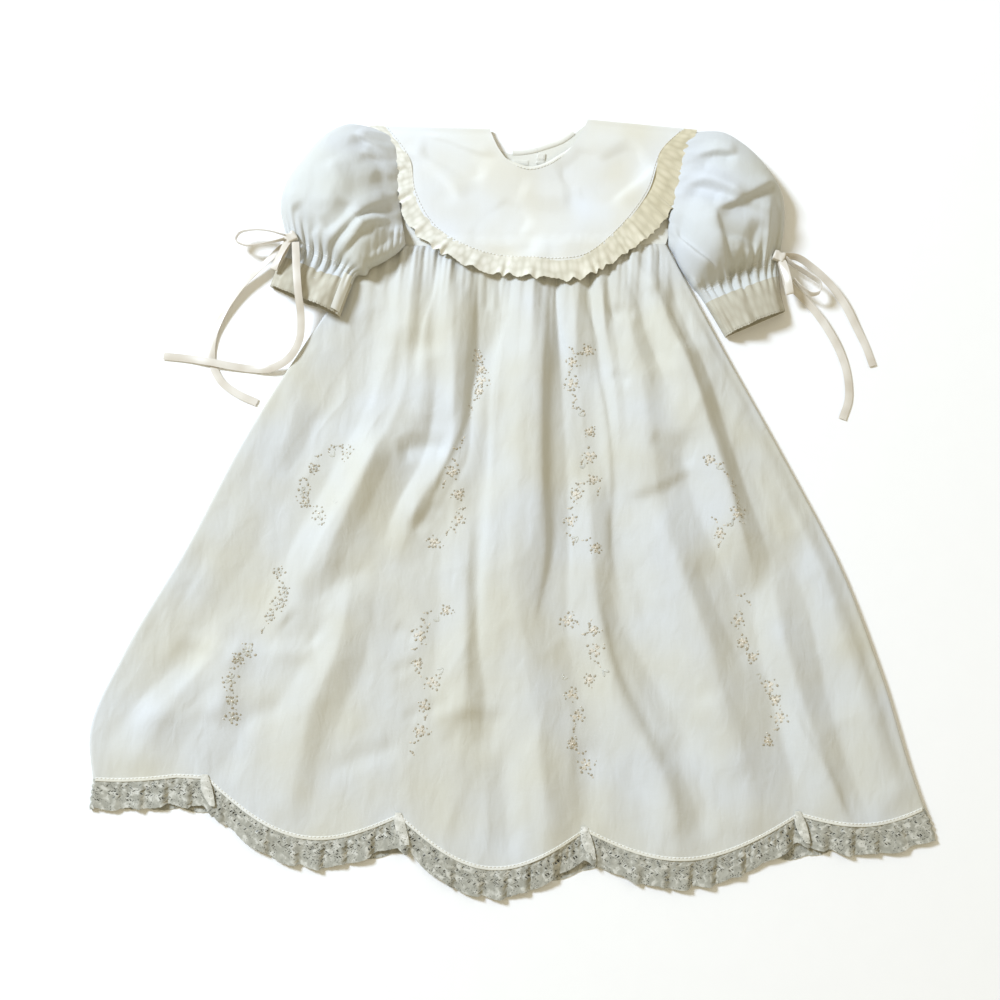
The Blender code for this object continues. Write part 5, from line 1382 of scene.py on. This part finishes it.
def makeSleeve(side, armhole, underFloor, phase):
    rows, folds = sleeves[side], sleeves[side + "Creases"]
    stations, end = track(rows), rows[-1][0]
    inward, flip, tail = (1 if side == "left" else -1), side == "right", side.capitalize()

    def plan(a, b):
        outerX, outerY, innerX, innerY, height = columnsOf(stations(a))
        chord = armhole(np.zeros_like(b)) * (1 - b)[..., None] + armhole(np.ones_like(b)) * b[..., None]
        bulge = (armhole(b) - chord) * (1 - smoothStep(a / sleeves["armholeFade"]))[..., None]
        return (outerX * (1 - b) + innerX * b + bulge[..., 0],
                outerY * (1 - b) + innerY * b + bulge[..., 1], height)

    def gathers(a, turn):
        head = (sleeves["headHeight"] * np.exp(-a / sleeves["headRun"])
                * np.sin(sleeves["headGathers"] * turn + phase))
        fineHead = (sleeves["fineHeadHeight"] * np.exp(-a / sleeves["fineHeadRun"])
                    * np.sin(sleeves["fineHeadGathers"] * turn + 2 * phase))
        near = np.exp(-((a - sleeves["elastic"]) / sleeves["cuffRun"]) ** 2)
        close = np.exp(-((a - sleeves["elastic"]) / sleeves["fineRun"]) ** 2)
        cuff = sleeves["cuffHeight"] * near * np.sin(sleeves["cuffGathers"] * turn + phase)
        fine = sleeves["fineHeight"] * close * np.sin(sleeves["fineGathers"] * turn + 1.7 * np.sin(5 * turn))
        return ((head + fineHead) * smoothStep(a / sleeves["headStart"]) + cuff + fine) * np.sin(turn / 2)

    def upper(a, turn):
        across = (1 - np.cos(turn)) / 2
        x, y, height = plan(a, across)
        x = x + inward * sleeves["underLace"] * (1 - 0.6 * across) * (1 - smoothStep(a / 0.13))
        lift = np.clip(np.sin(turn), 0, 1) ** sleeves["roundness"]
        base = underFloor(x, y) + dress["cloth"] + dress["seamGap"] + 0.2
        inner = smoothStep((a - sleeves["sewnRun"]) / sleeves["swellRun"]) * smoothStep((1.0 - a) / 0.06)
        bumps = sleeves["bumps"] * fineNoise(x, y, sleeves["bumpSize"], 4.4)
        dents = creases(folds, x, y) + bumps * lift
        z = base + height * lift + gathers(a, 2 * turn) * lift + dents * inner * np.minimum(lift * 1.6, 1)
        return x, y, np.maximum(z, base)

    def under(a, b):
        x, y, _ = plan(a, b)
        return stack(x, y, underFloor(x, y))

    def down(t):
        return (1 - t) ** sleeves["rowPower"]

    def pleated(s, t):
        share = 1 - t
        a = sleeves["laceStart"] + (end - sleeves["laceStart"]) * share
        x, y, z = upper(a, np.pi * s)
        # broad flat pleats: the wave is steep on one side
        turn = np.pi * sleeves["lacePleats"] * s + phase + 1.1 * np.sin(5.5 * s + phase)
        flatWave = np.sin(turn + 0.6 * np.sin(turn)) * np.sin(np.pi * s)
        picot = 0.8 * np.abs(np.sin(np.pi * s * 26)) * smoothStep((share - 0.75) * 4)
        pleat = (sleeves["pleatHeight"] * flatWave + 0.25 * np.sin(3 * turn)) * (0.35 + 0.65 * share)
        return stack(x, y - sleeves["pleatSwing"] * flatWave * share - picot,
                     z + 0.45 + 0.3 * smoothStep(share / 0.1) + pleat)

    def underPleated(s, t):
        start = sleeves["underLaceStart"]
        return under(start + (end - start) * (1 - t), s)

    def laceHole(s, t):
        return 0.04 < t < 0.12 and int(s * sleeves["laceGrid"][0]) % 3 == 0

    clothSheet(f"sleeve{tail}", f"sleeve_{side}", lambda s, t: stack(*upper(down(t), np.pi * s)),
               sleeves["grid"], "sleeve",
               flip)
    clothSheet(f"sleeve{tail}Under", f"sleeve_{side}_under", lambda s, t: under(down(t), s),
               sleeves["underGrid"], "sleeve", flip)
    clothSheet(f"cuffLace{tail}", f"cuff_lace_{side}", pleated, sleeves["laceGrid"], "cuffLace",
               flip,
               chart=(170, 24), holes=(laceHole, 0.22))
    clothSheet(f"cuffLace{tail}Under", f"cuff_lace_{side}_under", underPleated, (40, 6), "cuffLace",
               flip, chart=(80, 24))
    return upper


upperLeft = makeSleeve("left", armholeLeft, sleeveFloorLeft, 0.4)
upperRight = makeSleeve("right", armholeRight, sleeveFloorRight, 1.7)


def cuffSeamPlace(s, t):
    # turned seam that shows along the inner side of the left cuff
    x, y, z = upperLeft(0.90 + 0.285 * (1 - t), np.pi * (0.77 + 0.15 * s))
    return stack(x, y, z + 1.5 + 0.5 * np.sin(np.pi * s))


clothSheet("cuffSeamLeft", None, cuffSeamPlace, (10, 30), "yoke")
print("sleeves made")


# sewing
stitch = {
    "length": 2.2, "cuffLength": 1.6, "tabLength": 0.7, "gap": 1.0, "width": 0.5, "height": 0.35,
    "cuffRows": (0.845, 0.875),     # shares of the sleeve's length
    "tabHole": (-11, 302, 2.6, 3.4),        # middle x, y and half sizes of the buttonhole
}


def stitchRows(name, lines, length=stitch["length"]):
    # each stitch is a small pill that lies along its line of points
    made = bmesh.new()
    for points in lines:
        distance = distanceAlong(points)
        for start in np.arange(0, distance[-1] - length, length + stitch["gap"]):
            here = np.array([np.interp((start, start + length), distance, points[:, k]) for k in range(3)]).T
            ahead = Vector(here[1] - here[0]).normalized()
            side = ahead.cross(Vector((0, 0, 1))).normalized()
            lift = side.cross(ahead)
            turned = Matrix((ahead * length, side * stitch["width"], lift * stitch["height"])).transposed()
            turned = turned.to_4x4()
            turned.translation = Vector((here[0] + here[1]) / 2)
            bmesh.ops.create_cube(made, size=1.0, matrix=turned)
    bmesh.ops.scale(made, vec=(mm, mm, mm), verts=made.verts)
    wearPiece(addPiece(made, name, finishes["stitch"]))


along = np.linspace(0, 1, 400)
collarLine = bibPoint(1 + along, np.full(400, 0.975), collarLift) + (0, 0, 0.5)
bandLine = neckBandFrontPlace(along, np.full(400, 0.25)) + (0, 0, 0.45)
stitchRows("collarStitches", [collarLine, bandLine])
stitchRows("hemStitches", [hemTapePlace(along, np.full(400, 0.75)) + (0, 0, 0.25)])
roundTop = np.linspace(0.35, np.pi - 0.35, 200)
cuffLines = [stack(*upper(np.full(200, share), roundTop)) + (0, 0, 0.4)
             for upper in (upperLeft, upperRight) for share in stitch["cuffRows"]]
stitchRows("cuffStitches", cuffLines, stitch["cuffLength"])
midX, midY, halfWide, halfLong = stitch["tabHole"]
turns = np.linspace(0, 2 * math.pi, 40)
climb = np.clip((np.sin(turns) * halfLong + 3.2) / 3, 0, 1)      # as the tab climbs on to the band
tabLine = stack(midX + halfWide * np.cos(turns), midY + halfLong * np.sin(turns),
                yokeBackZ + 0.8 + 0.7 * climb)
stitchRows("tabStitches", [tabLine], stitch["tabLength"])
print("stitches made")


# embroidery: garlands of small flowers, each a ring of knots round short petals
embroidery = {
    "flowerRadius": 5.2, "rim": 8, "knot": (1.3, 1.0, 0.4), "petal": (2.2, 1.2, 0.14), "pearl": 0.8,
    "leaf": (3.0, 1.1, 0.15),
    "garlands": (
        # petals' floss, flowers, single knots, leaves
        ("grey",
         ((-159, 17), (-187, 2), (-193, -19), (-191, -28), (-178, -37), (-207, -89), (-201, -106),
          (-204, -116), (-211, -126), (-226, -157), (-233, -164), (-237, -182), (-234, -199), (-232, -212)),
         ((-166, 23), (-171, 22), (-175, 20), (-184, 13), (-192, -8), (-197, -9), (-174, -47), (-203, -98),
          (-216, -139), (-235, -172), (-235, -190)),
         ((-167, -28), (-170, 13), (-222, -150))),
        ("peach",
         ((-54, 111), (-50, 100), (-49, 89), (-51, 79), (-68, 6), (-62, -13), (-60, -34), (-79, -55),
          (-64, -112), (-85, -134), (-85, -158), (-71, -172), (-77, -192), (-77, -212)),
         ((-54, 71), (-56, 64), (-62, 34), (-66, 26), (-67, 16), (-75, -5), (-57, -25), (-63, -43),
          (-69, -46), (-80, -115), (-83, -121), (-79, -127), (-88, -146), (-83, -165), (-75, -201),
          (-82, -222), (-83, -230)),
         ((-59, 55), (-70, -122), (-63, -160))),
        ("peach",
         ((41, 122), (28, 111), (29, 92), (47, 50), (48, 29), (52, 8), (38, -6), (35, -29), (57, -51),
          (37, -113), (59, -120), (61, -137), (58, -161), (44, -174), (50, -191), (47, -214), (59, -230)),
         ((32, 118), (27, 122), (26, 102), (28, 86), (32, 81), (31, 75), (34, 70), (40, 68), (41, 23),
          (44, 4), (39, 3), (56, -2), (34, -18), (35, -41), (38, -47), (49, -45), (45, -114), (55, -115),
          (52, -124), (64, -147), (47, -202), (56, -221), (64, -238)),
         ((36, 64), (44, 17), (42, -42), (68, -153), (36, -163))),
        ("peach",
         ((148, 30), (174, -15), (160, -32), (179, -103), (184, -121), (192, -133), (207, -156), (212, -167),
          (216, -181), (206, -201)),
         ((157, 26), (163, 18), (168, 13), (169, 8), (171, 1), (173, -6), (166, -25), (156, -20),
          (160, -41), (181, -82), (188, -87), (187, -127), (214, -191)),
         ((154, 22), (170, -26), (200, -146))),
    ),
}


def onSkirt(x, y):
    # places on top of the skirt front and the direction its cloth faces there
    gap = 1.5
    z, east, west, north, south = (frontZ(x + dx, y + dy) for dx, dy in (
        (0, 0), (gap, 0), (-gap, 0), (0, gap), (0, -gap)))
    facing = np.stack(((west - east) / 2 / gap, (south - north) / 2 / gap, np.ones_like(x)), -1)
    return stack(x, y, z + dress["cloth"] / 2), facing / np.linalg.norm(facing, axis=1)[:, None]


def sewBeads(name, rows, finish):
    # rows: x, y, height over the cloth, turn, and three half sizes of a flattened bead
    rows = np.array(rows)
    places, normals = onSkirt(rows[:, 0], rows[:, 1])
    whole = bmesh.new()
    batch = 24          # beads added at a time, which is quicker than one mesh for all
    for first in range(0, len(rows), batch):
        few = bmesh.new()
        for row, place, normal in zip(rows[first:first + batch], places[first:], normals[first:]):
            up = Vector(normal)
            side = Vector((math.cos(row[3]), math.sin(row[3]), 0))
            ahead = (side - up * side.dot(up)).normalized()
            turned = Matrix((ahead * row[4], up.cross(ahead) * row[5], up * row[6])).transposed().to_4x4()
            turned.translation = Vector(place) + up * row[2]
            bmesh.ops.create_uvsphere(few, u_segments=7, v_segments=4, radius=1.0, matrix=turned)
        part = bpy.data.meshes.new("few")
        few.to_mesh(part)
        few.free()
        whole.from_mesh(part)
        bpy.data.meshes.remove(part)
    bmesh.ops.scale(whole, vec=(mm, mm, mm), verts=whole.verts)
    wearPiece(addPiece(whole, name, finishes[finish]))


def makeEmbroidery():
    # each flower: six short petals, an uneven ring of knots round them and a pearl in the middle
    beads = {"peach": [], "grey": [], "taupe": [], "pearl": []}
    knot, petal, leaf, pearl = (embroidery[key] for key in ("knot", "petal", "leaf", "pearl"))

    def sew(kind, x, y, far, angle, height, turn, size):
        beads[kind].append((x + far * math.cos(angle), y + far * math.sin(angle), height, turn, *size))

    count = 0
    for floss, flowers, singles, leaves in embroidery["garlands"]:
        for x, y in flowers:
            count += 1
            size = embroidery["flowerRadius"] * (0.92 + 0.2 * math.sin(count * 2.7))
            for k in range(6):
                angle = count * 1.9 + k * math.pi / 3 + 0.3 * math.sin(k * 3 + count)
                sew(floss, x, y, size * (0.5 + 0.12 * math.sin(k * 5 + count)), angle, 0, angle, petal)
            rim = embroidery["rim"] + count % 3
            for k in range(rim):
                angle = count * 1.9 + 0.4 + k * 2 * math.pi / rim + 0.25 * math.sin(k * 7 + count * 3)
                far = size * (0.95 + 0.34 * math.sin(k * 4.3 + count * 1.7))
                small = 0.85 + 0.25 * math.sin(k * 2.9 + count)
                sew("taupe", x, y, far, angle, 0.15, angle * 2.3, [side * small for side in knot])
                if (k + count) % 4 == 0:
                    sew("pearl", x, y, far + 1.6, angle + 0.35, 0.3, 0, [pearl * 0.6] * 3)
            sew("pearl", x, y, 0, 0, 0.4, 0, [pearl] * 3)
        for index, (x, y) in enumerate(singles):
            sew("taupe", x, y, 0, 0, 0.15, index * 1.3, knot)
            for k, (share, kind) in enumerate(((1.0, "taupe"), (0.8, floss))):
                angle = index * 2.1 + k * 2.6 + 0.5
                shape = [side * 0.75 * share for side in (knot if kind == "taupe" else petal)]
                sew(kind, x, y, 2.6 + 0.8 * math.sin(index * 3 + k), angle, 0.1, angle, shape)
        for index, (x, y) in enumerate(leaves):
            for shift in (-0.5, 0.5):
                angle = 0.5 + index * 1.7 + shift
                sew("grey", x, y, 3, angle, 0, angle, leaf)
    for name, kind in (("petalsPeach", "peach"), ("petalsGrey", "grey"), ("flowerKnots", "taupe"),
                       ("seedPearls", "pearl")):
        sewBeads(name, beads[kind], kind)


makeEmbroidery()
print("embroidery made")


# floor, light and the look of the picture
studio = {
    "floor": ("#FAFAFA", "#FBFBFB"),
    # window at the upper left: direction, power, distance and width in metres, colour
    "key": ((-0.68, 0.40, 0.61), 196, 4.0, 1.0, "#DDEBFF"),
    # suns of soft light: direction towards the light, strength, width in degrees, colour
    "suns": {"window": ((0.60, 0.62, 0.50), 0.25, 40, "#DCE9FF"),
             "room": ((0.45, -0.70, 0.55), 0.30, 60, "#FFF0D6")},
    "sky": "#FCF0CC", "skyStrength": 0.49,
}


def addLamp(name, kind, towards, strength, code, distance):
    data = bpy.data.lights.new(name, kind)
    data.energy, data.color = strength, linear(code)[:3]
    lamp = bpy.data.objects.new(name, data)
    bpy.context.scene.collection.objects.link(lamp)
    lamp.location = Vector(towards).normalized() * distance
    lamp.rotation_euler = Vector(towards).to_track_quat("Z", "Y").to_euler()
    return data


def makeStudio():
    # matt white board: it gives back the light evenly, with a soft shadow round the dress
    paint, tree, shader = newMaterial("pale matt board", {"Roughness": 0.9})
    place = addNode(tree, "ShaderNodeTexCoord").outputs["Object"]
    grain = addNode(tree, "ShaderNodeTexNoise", {"Scale": 1 / 0.02, "Detail": 3.0}, {"Vector": place})
    tone = addNode(tree, "ShaderNodeValToRGB", {"stops": tuple(zip((0.3, 0.7), studio["floor"]))},
                   {"Fac": grain})
    link(tree, shader, {"Base Color": tone})
    made = bmesh.new()
    bmesh.ops.create_grid(made, x_segments=2, y_segments=2, size=3.0)
    bmesh.ops.translate(made, vec=(0, 0, -0.0002), verts=made.verts)
    addPiece(made, "floor", paint)
    towards, power, distance, width, code = studio["key"]
    key = addLamp("key", "AREA", towards, power, code, distance)
    key.shape, key.size = "DISK", width
    for name, (towards, strength, width, code) in studio["suns"].items():
        addLamp(name, "SUN", towards, strength, code, 1.0).angle = math.radians(width)
    world = bpy.data.worlds.new("studio")
    bpy.context.scene.world = world
    world.use_nodes = True
    sky = world.node_tree.nodes["Background"]
    sky.inputs["Color"].default_value = linear(studio["sky"])
    sky.inputs["Strength"].default_value = studio["skyStrength"]
    bpy.context.scene.view_settings.view_transform = "Standard"


makeStudio()
print("studio made")
